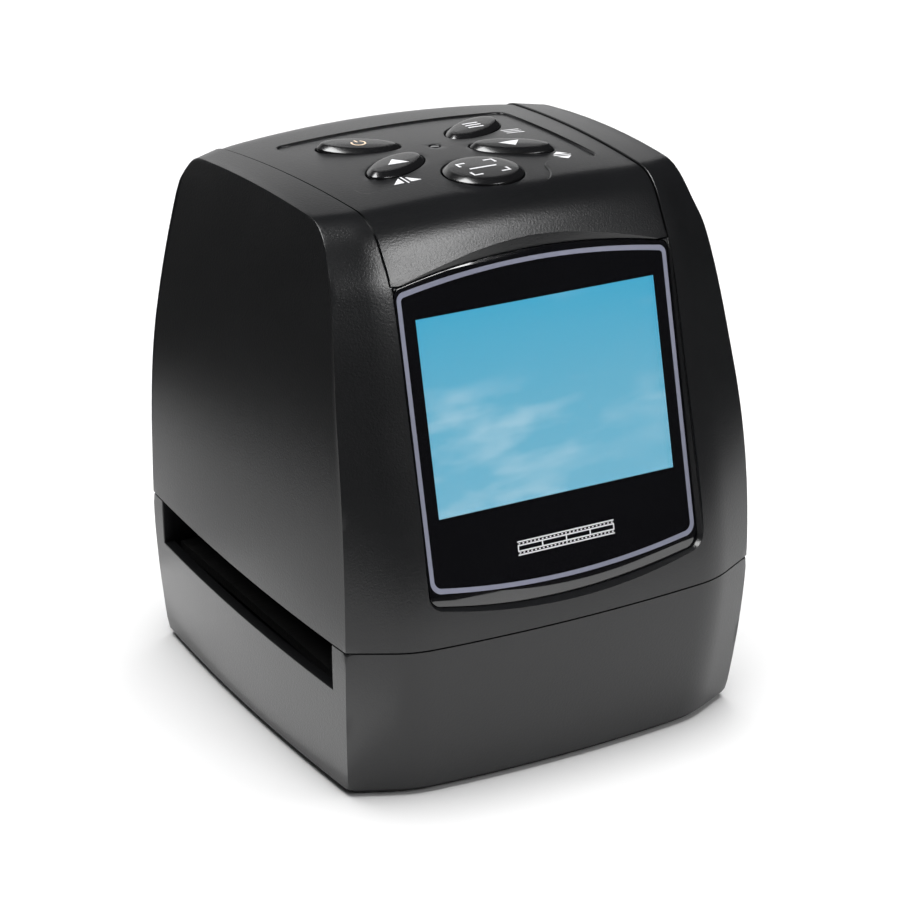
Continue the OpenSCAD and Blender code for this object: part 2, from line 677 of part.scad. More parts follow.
module display_bracket() {
    color(black) difference() {
        union() {
            on_window(bracket_depth + bracket_t) linear_extrude(bracket_t) {
                square([panel_w + 8, panel_l + 6.4], center = true);
                for (p = bracket_places) translate([p[0], p[1]]) circle(r = 3);
                for (w = bracket_rows) translate([0, w]) square([2 * bracket_x, 6], center = true);
            }
            // Stand-offs for the main board
            on_window(board_depth - 0.02) at_each(main_board_places)
                cylinder(r = 2, h = board_depth - bracket_depth - bracket_t);
        }
        on_window(bracket_depth + bracket_t + cut) linear_extrude(9) translate([0, 2])
            square([panel_w - 12, panel_l - 12.6], center = true);
        on_window(bracket_depth + bracket_t + cut) linear_extrude(9) translate([0, -22])
            square([22, 6], center = true);
        on_window(bracket_depth + bracket_t + cut) at_each(bracket_places)
            screw_hole(9);
        on_window(board_depth + cut) at_each(main_board_places)
            screw_hole(board_depth - bracket_depth + cut);
    }
}
module bracket_screws() {
    color(steel) on_window(bracket_depth + bracket_t) at_each(bracket_places)
        screw(small_screw_r, 4, small_head_r);
}
// Ribbon from the foot of the screen round to the main board
ribbon_t = 0.3;
module screen_ribbon() {
    top_depth = tray_front + tray_l + 0.2;
    r = (board_depth + board_t + 0.2 - top_depth) / 2 + ribbon_t / 2;
    up = -panel_l / 2 - 3.2;
    color("#c58a3a") on_window(top_depth + r) rotate([90, 0, 90]) translate([up, 0, -9]) {
        linear_extrude(18) difference() {
            circle(r = r);
            circle(r = r - ribbon_t);
            translate([0, -2 * r]) square(4 * r);
        }
        linear_extrude(18) translate([0, r - ribbon_t]) square([3, ribbon_t]);
        linear_extrude(18) translate([0, -r]) square([3.4, ribbon_t]);
    }
}

// =============================================================== buttons
flange_gap = 0.15;                     // gap between a cap's flange and the deck
flange_t = 1;
flange_top = deck_under - flange_gap;
cap_foot = flange_top - flange_t;
function deck_z(p) = top_z(p[1], band_sink + field_sink) - fall(p[0], case_h);
bevel = 0.5;
module leaf_cap(side, end) {
    p = leaf_place(side, end);
    top = deck_z(p) + cap_rise;
    translate(p) rotate(leaf_angle(side, end)) {
        translate([0, 0, cap_foot]) linear_extrude(flange_t) leaf(0.9);
        translate([0, 0, cap_foot]) linear_extrude(top - bevel - cap_foot) leaf(-cap_gap);
        hull() {
            translate([0, 0, top - bevel - 0.01]) linear_extrude(0.01) leaf(-cap_gap);
            translate([0, 0, top - 0.01]) linear_extrude(0.01) leaf(-cap_gap - bevel);
        }
    }
}
module power_button() { color(black) leaf_cap(-1, 1); }
module menu_button() { color(black) leaf_cap(1, 1); }
module mirror_button() { color(black) leaf_cap(-1, -1); }
module flip_button() { color(black) leaf_cap(1, -1); }
module scan_button() {
    top = deck_z(scan_place) + cap_rise;
    color(black) translate(scan_place) {
        translate([0, 0, cap_foot]) cylinder(r = scan_r + 0.9, h = flange_t);
        translate([0, 0, cap_foot]) cylinder(r = scan_r - cap_gap, h = top - bevel - cap_foot);
        translate([0, 0, top - bevel])
            cylinder(r1 = scan_r - cap_gap, r2 = scan_r - cap_gap - bevel, h = bevel);
    }
}
stem_r = 1.7;
stem_in = 1.6;                         // how far a stem reaches into its switch
switch_foot = button_board_z + button_board_t;
switch_top = cap_foot - travel - 0.15;
module stem(p) {
    color("#e8e4da") translate(p) translate([0, 0, switch_top - stem_in])
        cylinder(r = stem_r, h = cap_foot - switch_top + stem_in);
}
module power_stem() { stem(leaf_place(-1, 1)); }
module menu_stem() { stem(leaf_place(1, 1)); }
module mirror_stem() { stem(leaf_place(-1, -1)); }
module flip_stem() { stem(leaf_place(1, -1)); }
module scan_stem() { stem(scan_place); }
switch_places = concat([for (l = leaves) leaf_place(l[0], l[1])], [scan_place]);
module switch_bodies() {
    color("#3a3a3c") difference() {
        at_each(switch_places) translate([-3.1, -3.1, switch_foot])
            cube([6.2, 6.2, switch_top - switch_foot]);
        at_each(switch_places) translate([0, 0, switch_top - stem_in - travel - 0.15])
            cylinder(r = stem_r + 0.1, h = 9);
    }
}
module button_board() {
    color(board_green) difference() {
        translate([-23, -20.5, button_board_z]) cube([46, 40, button_board_t]);
        at_each(board_screw_places) translate([0, 0, button_board_z - cut])
            screw_hole(9);
    }
}
light_top = switch_foot + 1.6;
module status_light_pipe() {
    color("#d8dde0") translate(light_place) {
        translate([0, 0, light_top + close])
            cylinder(r = pipe_r, h = deck_z(light_place) - 0.1 - light_top - close);
        translate([0, 0, deck_under - close - 0.8]) cylinder(r = 1.8, h = 0.8);
    }
}
module status_light() {
    color("#9fd39f") translate(light_place) translate([-1, -0.8, switch_foot])
        cube([2, 1.6, light_top - switch_foot]);
}

// =============================================================== electronics
board_t = 1.6;
board_screw_l = 4.8;
board_depth = bracket_depth + bracket_t + 2.4;   // front face of the main board
main_board_places = [for (sx = [-1, 1]) for (sy = [-1, 1]) [sx * panel_w / 2, sy * (panel_l / 2 - 2.3), 0]];
module main_board() {
    color(board_green) difference() {
        on_window(board_depth + board_t) linear_extrude(board_t) square([panel_w + 6, panel_l + 3.4], center = true);
        on_window(board_depth + board_t + cut) at_each(main_board_places)
            screw_hole(9);
    }
}
// Places children on the main board's back, Z away from it
module on_board(across, up) {
    on_window(board_depth + board_t) translate([across, up, 0]) mirror([0, 0, 1]) children();
}
module chip(w, l, h) { translate([-w / 2, -l / 2, 0]) cube([w, l, h]); }
module processor() { color("#202124") on_board(0, 3) chip(13, 13, 1.2); }
module memory_chips() {
    color("#202124") {
        on_board(16, 5) chip(9, 11, 1);
        on_board(-15, 6) chip(5, 6, 1.5);
    }
}
link_x = 24.6;                         // place of the ribbon between the two boards
module board_parts() {
    color("#c9c2a8") {
        on_board(0, 16) chip(11, 3.4, 2);                // button ribbon's socket
        on_board(0, -8) chip(13, 3.4, 2);                // sensor ribbon's socket
        on_board(0, -16.5) chip(21, 3.4, 2);             // screen ribbon's socket
        on_board(link_x - 1.5, -9) chip(10.6, 3.4, 2);       // link ribbon's socket
        for (i = [0:4]) on_board(-24 + i * 3.4, -4) chip(1.2, 2, 0.8);
        on_board(-22, 12) chip(3.2, 5, 1.2);             // crystal
        on_board(-20, -12) chip(6, 6, 2.8);              // coil
    }
}
// The screws of the main, button, socket, sensor and light boards are alike
module board_screw() { screw(small_screw_r, board_screw_l, small_head_r); }
module board_screws() {
    color(steel) {
        on_window(board_depth + board_t) at_each(main_board_places) board_screw();
        at_each(board_screw_places) translate([0, 0, button_board_z]) board_screw();
        at_each(socket_board_places) translate([0, 0, socket_floor]) rotate([180, 0, 0]) board_screw();
        at_each(pillar_places) translate([0, 0, sensor_z + sensor_board_t]) rotate([180, 0, 0])
            board_screw();
        at_each(light_board_places) translate([0, 0, light_board_z + light_board_t])
            rotate([180, 0, 0]) board_screw();
    }
}
module strip(path, x, w) {
    // A flat ribbon: a path of [y, z] points given a thickness, w wide along X
    n = len(path) - 1;
    function side(i) = let (a = path[max(0, i - 1)], b = path[min(n, i + 1)], d = (b - a) / norm(b - a))
        [-d[1], d[0]] * ribbon_t / 2;
    translate([x - w / 2, 0, 0]) rotate([90, 0, 90]) linear_extrude(w)
        polygon(concat([for (i = [0:n]) path[i] + side(i)], [for (i = [n:-1:0]) path[i] - side(i)]));
}
function flat(p) = [p[1], p[2]];
function curve(p, c, q, steps) = [for (i = [0:steps]) bend(p, c, q, i / steps)];
ribbon_color = "#c58a3a";
module button_ribbon() {
    start = [-14.5, button_board_z - ribbon_t / 2 - 0.02];
    plug = flat(window_point(0, 17.9, board_depth + board_t + 1));
    color(ribbon_color) strip(concat([start], curve(start - [4, 0], [plug[0], start[1]], plug, 8)), 0, 9);
}
module sensor_ribbon() {
    start = [-13.6, sensor_z - ribbon_t / 2 - 0.02];
    plug = flat(window_point(0, -6.1, board_depth + board_t + 1));
    color(ribbon_color) strip(concat([start], curve(start - [4, 0], plug + [3, 3.2], plug, 8)), 0, 11);
}
module board_link_ribbon() {
    start = [socket_front + 2, socket_floor + ribbon_t / 2 + 0.02];
    plug = flat(window_point(0, -10.9, board_depth + board_t + 1));
    color("#d9d9d4") strip(concat([start], [[-10, start[1]]],
        curve([-14, start[1]], [plug[0] + 2, start[1]], plug, 8)), link_x, 7.4);
}

socket_front = slot_half - 16.5;       // front edge of the socket board
socket_back = case_d / 2 - 4.4;
socket_half_w = case_w / 2 - 8.6;
socket_board_places = [for (sx = [-1, 1]) for (y = [3, 12])
    [sx * (socket_half_w - 3), socket_front + y, 0]];
module socket_board() {
    color("#e8e4da") translate([lead_x - 3, 31.2, socket_board_z - 1.6]) cube([6, 3, 1.62]);
    color(board_green) difference() {
        translate([-socket_half_w, socket_front, socket_board_z])
            cube([2 * socket_half_w, socket_back - socket_front, socket_board_t]);
        at_each(socket_board_places) translate([0, 0, socket_board_z - cut])
            screw_hole(9);
        // Room for the case bosses
        at_each(post_places) translate([0, 0, socket_board_z - cut]) cylinder(r = post_r + 0.4, h = 9);
    }
}
mouth_y = case_d / 2 - wall - 0.1;     // where the sockets' mouths stand
module usb_socket() {
    color(steel) difference() {
        translate([-socket_x - usb_w / 2, mouth_y - 9, socket_floor]) cube([usb_w, 9, usb_h]);
        translate([-socket_x - usb_w / 2 + 0.4, mouth_y - 6.5, socket_floor + 0.4])
            cube([usb_w - 0.8, 9, usb_h - 0.8]);
    }
    color(black) translate([-socket_x - 2.4, mouth_y - 6.52, socket_floor + 1.5]) cube([4.8, 5, 1]);
}
module tv_socket() {
    color("#e2c23a") difference() {
        union() {
            translate([socket_x - 3, mouth_y - 12, socket_floor]) cube([6, 11, 6]);
            translate([socket_x, mouth_y - 2, jack_z]) rotate([-90, 0, 0]) cylinder(r = 2.9, h = 2);
        }
        translate([socket_x, mouth_y - jack_l, jack_z]) rotate([-90, 0, 0])
            cylinder(r = jack_r, h = jack_l + cut);
    }
}
module card_socket() {
    color(steel) difference() {
        translate([-card_w / 2, socket_front + 1.5, socket_floor])
            cube([card_w, mouth_y - socket_front - 1.5, card_h]);
        translate([-12.1, socket_front + 4, socket_floor + 0.4]) cube([24.2, 40, card_h - 0.8]);
    }
}

// =============================================================== camera over the film
sensor_z = base_h + guide_t + sensor_rise;       // underside of the sensor board
tower_foot = guide_z + guide_t + 0.05;
tower_top = sensor_z - 16;
pillar_places = four(13, 12.5);
tower_screw_places = four(23, 15);
barrel_foot = tower_top - 3;
tower_w = 52;
tower_l = 35;
module lens_tower() {
    color(black) difference() {
        union() {
            translate([-tower_w / 2, -tower_l / 2, tower_foot]) cube([tower_w, tower_l, 2]);
            hull() {
                translate([-21, -15.5, tower_foot]) cube([42, 31, 1]);
                translate([-15.5, -15, tower_top - 1]) cube([31, 30, 1]);
            }
            at_each(pillar_places) translate([0, 0, tower_top - 1])
                cylinder(r = 2, h = sensor_z - tower_top + 1 - 0.05);
        }
        hull() {
            translate([-19.4, -13.9, tower_foot - cut]) cube([38.8, 27.8, cut]);
            translate([-11, -10.5, tower_top - 2.6]) cube([22, 21, 1]);
        }
        translate([0, 0, tower_top - 5]) cylinder(r = barrel_r + 0.3, h = 9);
        at_each(pillar_places) translate([0, 0, sensor_z - 5]) screw_hole(9);
        at_each(tower_screw_places) translate([0, 0, tower_foot - cut]) screw_hole(9);
    }
}
module tower_screws() {
    color(steel) at_each(tower_screw_places) translate([0, 0, tower_foot + 2]) rotate([180, 0, 0])
        screw(small_screw_r, 3.6, small_head_r);
}
sensor_h = 1.5;
sensor_board_t = 1.2;
filter_t = 0.6;
holder_foot = tower_top + 1.2;
filter_z = sensor_z - sensor_h - 2.4;
module lens_holder() {
    color(black) difference() {
        translate([-9, -9, holder_foot]) cube([18, 18, sensor_z - holder_foot - 0.02]);
        translate([0, 0, barrel_foot]) cylinder(r = barrel_r + screw_play, h = barrel_l + 0.2);
        translate([0, 0, holder_foot]) cylinder(r = 4.2, h = sensor_z - holder_foot - 2);
        translate([-6, -5.2, filter_z - 0.02]) cube([12, 10.4, sensor_z - filter_z + cut]);
    }
}
lens_r = 4.45;
// Lens elements: [seat in the barrel, height at the edge, bulge of the upper face]
lenses = [[1.2, 0.9, 1.1], [5.4, 1.9, -1], [9.6, 0.9, 1.1]];
module lens_barrel() {
    color(black) translate([0, 0, barrel_foot]) difference() {
        cylinder(r = barrel_r, h = barrel_l);
        translate([0, 0, -cut]) cylinder(r = lens_r + screw_play, h = 40);
    }
    // Lock ring screwed against the holder
    color(black) translate([0, 0, barrel_foot - 0.02]) difference() {
        cylinder(r = barrel_r + 1.3, h = 1.4);
        translate([0, 0, -cut]) cylinder(r = barrel_r - 0.5, h = 9);
    }
}
module lens_elements() {
    color("#a9c4d6") for (lens = lenses) translate([0, 0, barrel_foot + lens[0]])
        rotate_extrude() polygon(concat([[0, 0], [lens_r, 0]],
            [for (i = [8:-1:0]) [lens_r * i / 8, lens[1] + lens[2] * (1 - pow(i / 8, 2))]]));
}
module infrared_filter() {
    color("#9cc3c0") translate([-5.9, -5.1, filter_z]) cube([11.8, 10.2, filter_t]);
}
module image_sensor() {
    color("#3b4048") translate([-5.6, -4.8, sensor_z - sensor_h]) cube([11.2, 9.6, sensor_h - 0.02]);
}
module sensor_board() {
    color(board_green) difference() {
        translate([-16, -15, sensor_z]) cube([32, 30, sensor_board_t]);
        at_each(pillar_places) translate([0, 0, sensor_z - cut]) screw_hole(9);
    }
}

// =============================================================== film gate and light
stop_place = [0, 2.6 - slot_half, 0];
stop_r = 1.5;
stop_out = 1.1;                        // how far the click-stop pin stands into the channel
stop_tip = 0.6;                        // slope at the pin's tip
housing_r = 3.4;
guide_half_w = case_w / 2 - 3.7;
deck_half_w = case_w / 2 - 3.3;
module film_guide() {
    color(black) difference() {
        union() {
            translate([-guide_half_w, -slot_half - 1.4, guide_z])
                cube([2 * guide_half_w, 2 * slot_half + 2.8, guide_t]);
            at_each(post_places) translate([0, 0, guide_z]) cylinder(r = post_r, h = guide_t);
            // Stand-offs for the socket board
            at_each(socket_board_places) translate([0, 0, guide_z])
                cylinder(r = 2, h = socket_board_z - guide_z - 0.02);
        }
        translate([-gate_w / 2, -gate_l / 2, guide_z - cut]) cube([gate_w, gate_l, 9]);
        at_each(post_places) translate([0, 0, guide_z - cut])
            cylinder(r = case_screw_r + screw_play, h = 9);
        at_each(tower_screw_places) translate([0, 0, guide_z + 0.3]) screw_hole(9);
        at_each(socket_board_places) translate([0, 0, guide_z + 0.5]) screw_hole(9);
        translate(stop_place) translate([0, 0, guide_z - cut]) cylinder(r = stop_r + screw_play, h = 9);
    }
}
deck_z0 = slot_z - 0.2 - deck_t;       // underside of the film deck
glass_step = 1.2;
module film_deck() {
    color(black) difference() {
        translate([-deck_half_w, -slot_half + 0.2, deck_z0])
            cube([2 * deck_half_w, 2 * slot_half - 0.4, deck_t]);
        translate([-gate_w / 2, -gate_l / 2, deck_z0 - cut]) cube([gate_w, gate_l, 9]);
        translate([-gate_w / 2 - glass_step, -gate_l / 2 - glass_step, deck_z0 - cut])
            cube([gate_w + 2 * glass_step, gate_l + 2 * glass_step, cut + deck_t - 0.6]);
    }
}
box_top = deck_z0 - close;
module gate_glass_and_diffuser() {
    color("#dfe8ec")
        translate([-gate_w / 2 - glass_step + close, -gate_l / 2 - glass_step + close, deck_z0])
        cube([gate_w + 2 * (glass_step - close), gate_l + 2 * (glass_step - close), deck_t - 0.6 - close]);
    color("#f4f4ee") translate([-gate_w / 2 - 2.3, -gate_l / 2 - 2.3, box_top - 1.5])
        cube([gate_w + 4.6, gate_l + 4.6, 1.5]);
}
box_wall = 1.6;
box_z = light_board_z + light_board_t + close;
module light_box() {
    w = gate_w + 4.8;
    l = gate_l + 4.8;
    color("#efefea") difference() {
        translate([-w / 2 - box_wall, -l / 2 - box_wall, box_z])
            cube([w + 2 * box_wall, l + 2 * box_wall, box_top - box_z]);
        translate([-w / 2, -l / 2, box_top - 1.6]) cube([w, l, 9]);
        hull() {
            translate([-w / 2 + 1.2, -l / 2 + 1.2, box_top - 1.65]) cube([w - 2.4, l - 2.4, 0.1]);
            translate([-w / 2 + 3, -l / 2 + 3, box_z - cut]) cube([w - 6, l - 6, 0.1]);
        }
        // Room for the heads of the light board's screws
        at_each(light_board_places) translate([0, 0, box_z - cut])
            cylinder(r = small_head_r + 0.3, h = head_h + cut + 0.4);
    }
}
led_places = [for (i = [-1:1]) for (j = [-1:1]) [i * 11, j * 7, 0]];
module light_board() {
    top = light_board_z + light_board_t;
    color(board_green) difference() {
        translate([-24, -15, light_board_z]) cube([48, 36, light_board_t]);
        at_each(light_board_places) translate([0, 0, light_board_z - cut]) screw_hole(9);
    }
    color("#f2e9a8") at_each(led_places) translate([-1.75, -1.4, top]) cube([3.5, 2.8, 0.8]);
    color("#e8e4da") translate([lead_x - 3, 17.6, top]) cube([6, 3, 2.4]);
}
// Pair of wires from the light board's socket up behind the film channel to the socket board
lead_x = 12;
lead_r = 0.5;
lead_route = [[20.6, 8], [26, 8], [31, 8], [36, 9], [38.6, 12], [39, 17], [39, 24], [38.8, 29.5],
    [37.2, 32.4], [34.2, 32.7]];
function knot(list, i) = list[clamp(i, 0, len(list) - 1)];
function through(list, steps) = concat([for (i = [0:len(list) - 2]) for (j = [0:steps - 1])
    let (t = j / steps, a = knot(list, i - 1), b = list[i], c = list[i + 1], d = knot(list, i + 2))
    0.5 * (2 * b + (c - a) * t + (2 * a - 5 * b + 4 * c - d) * t * t
        + (3 * b - a - 3 * c + d) * pow(t, 3))], [last(list)]);
module wire(route, x, r) {
    n = len(route) - 1;
    sides = 8;
    points = [for (i = [0:n])
        let (a = knot(route, i - 1), b = knot(route, i + 1), d = (b - a) / norm(b - a))
        for (k = [0:sides - 1]) let (u = r * cos(360 * k / sides), v = r * sin(360 * k / sides))
            [x + u, route[i][0] - v * d[1], route[i][1] + v * d[0]]];
    polyhedron(points, concat([[for (k = [sides - 1:-1:0]) k], [for (k = [0:sides - 1]) n * sides + k]],
        [for (i = [0:n - 1]) for (k = [0:sides - 1]) let (m = (k + 1) % sides)
            for (f = tri(i * sides + k, i * sides + m, (i + 1) * sides + m, (i + 1) * sides + k)) f]),
        convexity = 4);
}
module light_lead() {
    route = through(lead_route, 4);
    color("#b3262a") wire(route, lead_x - lead_r - 0.1, lead_r);
    color(black) wire(route, lead_x + lead_r + 0.1, lead_r);
}
module click_stop_housing() {
    // Cap over the pin and its spring
    top = guide_z + guide_t;
    color("#4a4c50") translate(stop_place) translate([0, 0, top + 0.03]) difference() {
        cylinder(r = housing_r, h = 8);
        translate([0, 0, -cut]) cylinder(r = 2.4, h = 8);
    }
}
// Coil spring between the pin's collar and the housing's roof
spring_z0 = guide_z + guide_t + 1.2;
spring_z1 = guide_z + guide_t + 6.95;
module click_stop_spring() {
    turns = 5;
    steps = 14;
    coil_r = 1.75;
    wire_r = 0.25;
    n = turns * steps;
    sides = 6;
    points = [for (i = [0:n]) let (a = 360 * i / steps,
        z = mix(spring_z0 + wire_r, spring_z1 - wire_r, i / n))
        for (k = [0:sides - 1]) let (b = 360 * k / sides, r = coil_r + wire_r * cos(b))
            [stop_place[0] + r * cos(a), stop_place[1] + r * sin(a), z + wire_r * sin(b)]];
    color(steel) polyhedron(points, concat([[for (k = [0:sides - 1]) k],
        [for (k = [sides - 1:-1:0]) n * sides + k]],
        [for (i = [0:n - 1]) for (k = [0:sides - 1]) let (m = (k + 1) % sides)
            for (f = tri(i * sides + k, (i + 1) * sides + k, (i + 1) * sides + m, i * sides + m)) f]),
        convexity = 8);
}
module click_stop_pin() {
    color("#e8e4da") translate(stop_place) {
        translate([0, 0, guide_z - stop_out + stop_tip])
            cylinder(r = stop_r, h = guide_t + stop_out - stop_tip + 0.2);
        translate([0, 0, guide_z - stop_out])
            cylinder(r1 = stop_r - stop_tip, r2 = stop_r, h = stop_tip);
        translate([0, 0, guide_z + guide_t + 0.15]) cylinder(r = 2.2, h = 1);
    }
}

upper_case();
top_band();
rear_panel();
base_case();
bottom_cover();
rubber_feet();
case_screws();
cover_screws();
band_screws();
display_window();
window_tape();
screen_panel();
screen_tray();
display_bracket();
bracket_screws();
screen_ribbon();
power_button();
menu_button();
mirror_button();
flip_button();
scan_button();
power_stem();
menu_stem();
mirror_stem();
flip_stem();
scan_stem();
switch_bodies();
button_board();
status_light_pipe();
status_light();
button_ribbon();
main_board();
processor();
memory_chips();
board_parts();
board_screws();
socket_board();
usb_socket();
tv_socket();
card_socket();
board_link_ribbon();
sensor_board();
image_sensor();
infrared_filter();
sensor_ribbon();
lens_holder();
lens_barrel();
lens_elements();
lens_tower();
tower_screws();
film_guide();
film_deck();
gate_glass_and_diffuser();
light_box();
light_board();
light_lead();
click_stop_housing();
click_stop_spring();
click_stop_pin();
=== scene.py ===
import json
import math

import bmesh
import bpy
from mathutils import Matrix, Vector
from mathutils.bvhtree import BVHTree
from mathutils.interpolate import poly_3d_calc

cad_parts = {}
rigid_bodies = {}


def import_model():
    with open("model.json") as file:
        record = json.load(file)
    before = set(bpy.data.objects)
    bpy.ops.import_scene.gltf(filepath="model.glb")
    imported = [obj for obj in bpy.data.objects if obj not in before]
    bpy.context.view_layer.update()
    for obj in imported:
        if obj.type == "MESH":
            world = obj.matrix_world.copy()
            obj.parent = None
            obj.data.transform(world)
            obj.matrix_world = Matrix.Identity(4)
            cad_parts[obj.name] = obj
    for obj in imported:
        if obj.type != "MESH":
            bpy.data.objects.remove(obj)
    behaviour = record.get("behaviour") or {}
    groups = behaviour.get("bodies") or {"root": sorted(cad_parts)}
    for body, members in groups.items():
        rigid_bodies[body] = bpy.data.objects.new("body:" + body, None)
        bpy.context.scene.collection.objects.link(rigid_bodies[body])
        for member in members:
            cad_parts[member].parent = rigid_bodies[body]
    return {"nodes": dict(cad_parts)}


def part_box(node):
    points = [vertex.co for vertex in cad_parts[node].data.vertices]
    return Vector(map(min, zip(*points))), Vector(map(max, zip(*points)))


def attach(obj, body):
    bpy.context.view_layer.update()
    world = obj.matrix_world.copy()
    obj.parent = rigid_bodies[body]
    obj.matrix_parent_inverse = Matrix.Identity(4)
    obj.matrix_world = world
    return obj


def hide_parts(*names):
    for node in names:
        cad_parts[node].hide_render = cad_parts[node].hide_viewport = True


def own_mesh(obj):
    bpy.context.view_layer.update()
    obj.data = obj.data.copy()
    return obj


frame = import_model()
nodes = frame["nodes"]
scene = bpy.context.scene
for stray in [piece for piece in scene.objects if piece.name in ("Cube", "Light", "Camera")]:
    bpy.data.objects.remove(stray)
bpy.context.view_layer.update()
scene.view_settings.view_transform = "Standard"
MM = 0.001


# ------------------------------------------------------------------ camera
# A long lens looks down on the scanner from its front left, from about
# half a metre away, as a maker's catalogue view would be taken.
azimuth, elevation, roll = [math.radians(t) for t in (-30.36, 23.192, 0.888)]
distance, target = 572.74 * MM, Vector((0.796, -0.415, 44.82)) * MM
back = Vector((math.sin(azimuth) * math.cos(elevation), -math.cos(azimuth) * math.cos(elevation),
               math.sin(elevation)))
level = Vector((0, 0, 1)).cross(back).normalized()
upright = back.cross(level)
camera_data = bpy.data.cameras.new("camera")
camera_data.lens, camera_data.sensor_width, camera_data.clip_start = 122.59, 36, 0.01
camera = bpy.data.objects.new("camera", camera_data)
camera.matrix_world = Matrix((level * math.cos(roll) + upright * math.sin(roll),
                              upright * math.cos(roll) - level * math.sin(roll), back)).transposed().to_4x4()
camera.location = target + back * distance
scene.collection.objects.link(camera)
scene.camera = camera


# ------------------------------------------------------------- upper casing
# One injection moulding in charcoal ABS: two cheeks, the frame round the
# window and the two back corners. It closes on the base at the parting line
# and four long screws from below hold it. Its skin is spark-eroded satin.
case_w, case_d, case_h, base_h = 84.2, 89.4, 103.4, 29.8
wall, groove, seam = 2.1, 0.3, 0.25
front_w, corner_low, corner_high = 63, 5.6, 3
front_crown, side_crown, side_lean, side_fall = 1.65, 1.4, 6.3, 1.85
foot_tuck, side_tuck, tuck_power, lean_power = 2.95, 1.8, 1.7, 2.15
front_taper, front_tuck, corner_tuck = 2, 1.95, 0.7
top_tilt, top_bow = 0.0153, 0.001633
brow_z, brow_y, brow_slope, brow_round = case_h - 12.1, 29.2, 0.51, 5.5
nape_z, nape_y, nape_slope, nape_round = case_h - 9.2, 36.9, 0.2, 7
mid_z, chest_y, back_mid_y = base_h + 38.7, 36.2, 41.5
skin = 0.02                     # the moulded skin lies this far inside the solids
edge_r = 0.45                   # rounding of the casing's sharp edges
rim_r = 0.22                    # rounding of the edges at gaps and holes
quarter = [math.radians(t) for t in (0, 22.5, 45, 67.5, 90)]


def mix(a, b, t):
    return a + (b - a) * t


def spread(a, b, count):
    return [mix(a, b, i / count) for i in range(count + 1)]


def clamp(t, low, high):
    return max(low, min(high, t))


def smooth(t):
    u = clamp(t, 0, 1)
    return u * u * (3 - 2 * u)


def bend(p, c, q, t):
    return [a * (1 - t) ** 2 + b * 2 * t * (1 - t) + d * t * t for a, b, d in zip(p, c, q)]


def last_where(test, low, high, steps):
    """The highest value for which test still holds, found by halving."""
    for _ in range(steps):
        middle = (low + high) / 2
        low, high = (middle, high) if test(middle) else (low, middle)
    return low


def rise(z):
    return max(0.0, (z - base_h) / (case_h - base_h))


def sunk(z):
    return max(0.0, 1 - z / base_h) ** tuck_power


def half_w(z, w):
    return case_w / 2 - side_lean * rise(z) ** lean_power - side_tuck * sunk(z) - w


corner_angle = math.atan(corner_low / (case_w / 2 - front_w / 2))


def soft_x(z, w):
    return front_w / 2 - front_taper * rise(z) ** 2 - front_tuck * sunk(z) - w * math.tan(corner_angle / 2)


def pull(z, w):
    corner = mix(corner_low, corner_high, smooth(2 * rise(z))) - corner_tuck * sunk(z)
    return corner - w * (1 - math.tan(math.pi / 4 - corner_angle / 2))


front_knots = [(base_h, case_d / 2, -0.02), (mid_z, chest_y, -0.29), (brow_z, brow_y, -0.42)]
back_knots = [(base_h, case_d / 2, 0), (mid_z, back_mid_y, -0.14), (nape_z, nape_y, -0.2)]


def reach(z, knots, slope):
    """How far the front or back lies off the middle, through knots of height, reach and slope."""
    if z < base_h:
        return case_d / 2 - foot_tuck * sunk(z)
    for (z0, y0, s0), (z1, y1, s1) in zip(knots, knots[1:]):
        if z < z1:
            h, t = z1 - z0, (z - z0) / (z1 - z0)
            return ((1 - 3 * t * t + 2 * t ** 3) * y0 + (3 * t * t - 2 * t ** 3) * y1
                    + t * (1 - t) ** 2 * h * s0 + t * t * (t - 1) * h * s1)
    return y1 - slope * (z - z1)


def front_y(z, w):
    return w * 1.05 - reach(z, front_knots, brow_slope)


def back_y(z, w):
    return reach(z, back_knots, nape_slope) - w


def top_z(y, w):
    return case_h - top_tilt * y - top_bow * y * y - w


def fall(x, z):
    return side_fall * (x / (case_w / 2 - side_lean)) ** 2 * smooth((z - brow_z) / (case_h - 4 - brow_z))


front_rows, corner_steps, top_steps = 44, 16, 40
row_count = front_rows + corner_steps // 2


def profile(w, z0):
    """The side profile, from the front's foot over the top to the back's foot."""
    z = top_z(6.3 - brow_y, w)
    y = front_y(z, w)
    brow = [(y - brow_slope * brow_round, z - brow_round), (y, z), (y + brow_round, top_z(y + brow_round, w))]
    z = top_z(nape_y - 1.4, w)
    y = back_y(z, w)
    nape = [(y - nape_round, top_z(y - nape_round, w)), (y, z), (y + nape_slope * nape_round, z - nape_round)]
    line = [(front_y(z, w), z) for z in spread(z0, brow[0][1], front_rows)[:-1]]
    line += [tuple(bend(*brow, t)) for t in spread(0, 1, corner_steps)[:-1]]
    line += [(y, top_z(y, w)) for y in spread(brow[2][0], nape[0][0], top_steps)]
    line += [tuple(bend(*nape, t)) for t in spread(0, 1, corner_steps)[1:]]
    return line + [(back_y(z, w), z) for z in spread(nape[2][1], z0, front_rows)[1:]]


top_mid = (nape_y - brow_y) / 2 + 2.4
top_half = (nape_y + brow_y) / 2 - 4


def cross_point(p, k, w):
    """Point of the wrap across a profile point: k runs to 1 over the front, 2 is the side edge."""
    y, z = p
    lean = clamp((y - top_mid) / top_half, -1, 1)
    if abs(k) <= 1:
        x, out = k * soft_x(z, w), front_crown * (1 - k * k)
    else:
        x, out = math.copysign(half_w(z - side_fall * rise(z), w), k), -pull(z, w)
    return (x, y + lean * out, z - fall(x, z))


soft_in, soft_out = 0.12, 0.3   # shares of the front and the corner face that the soft edge takes


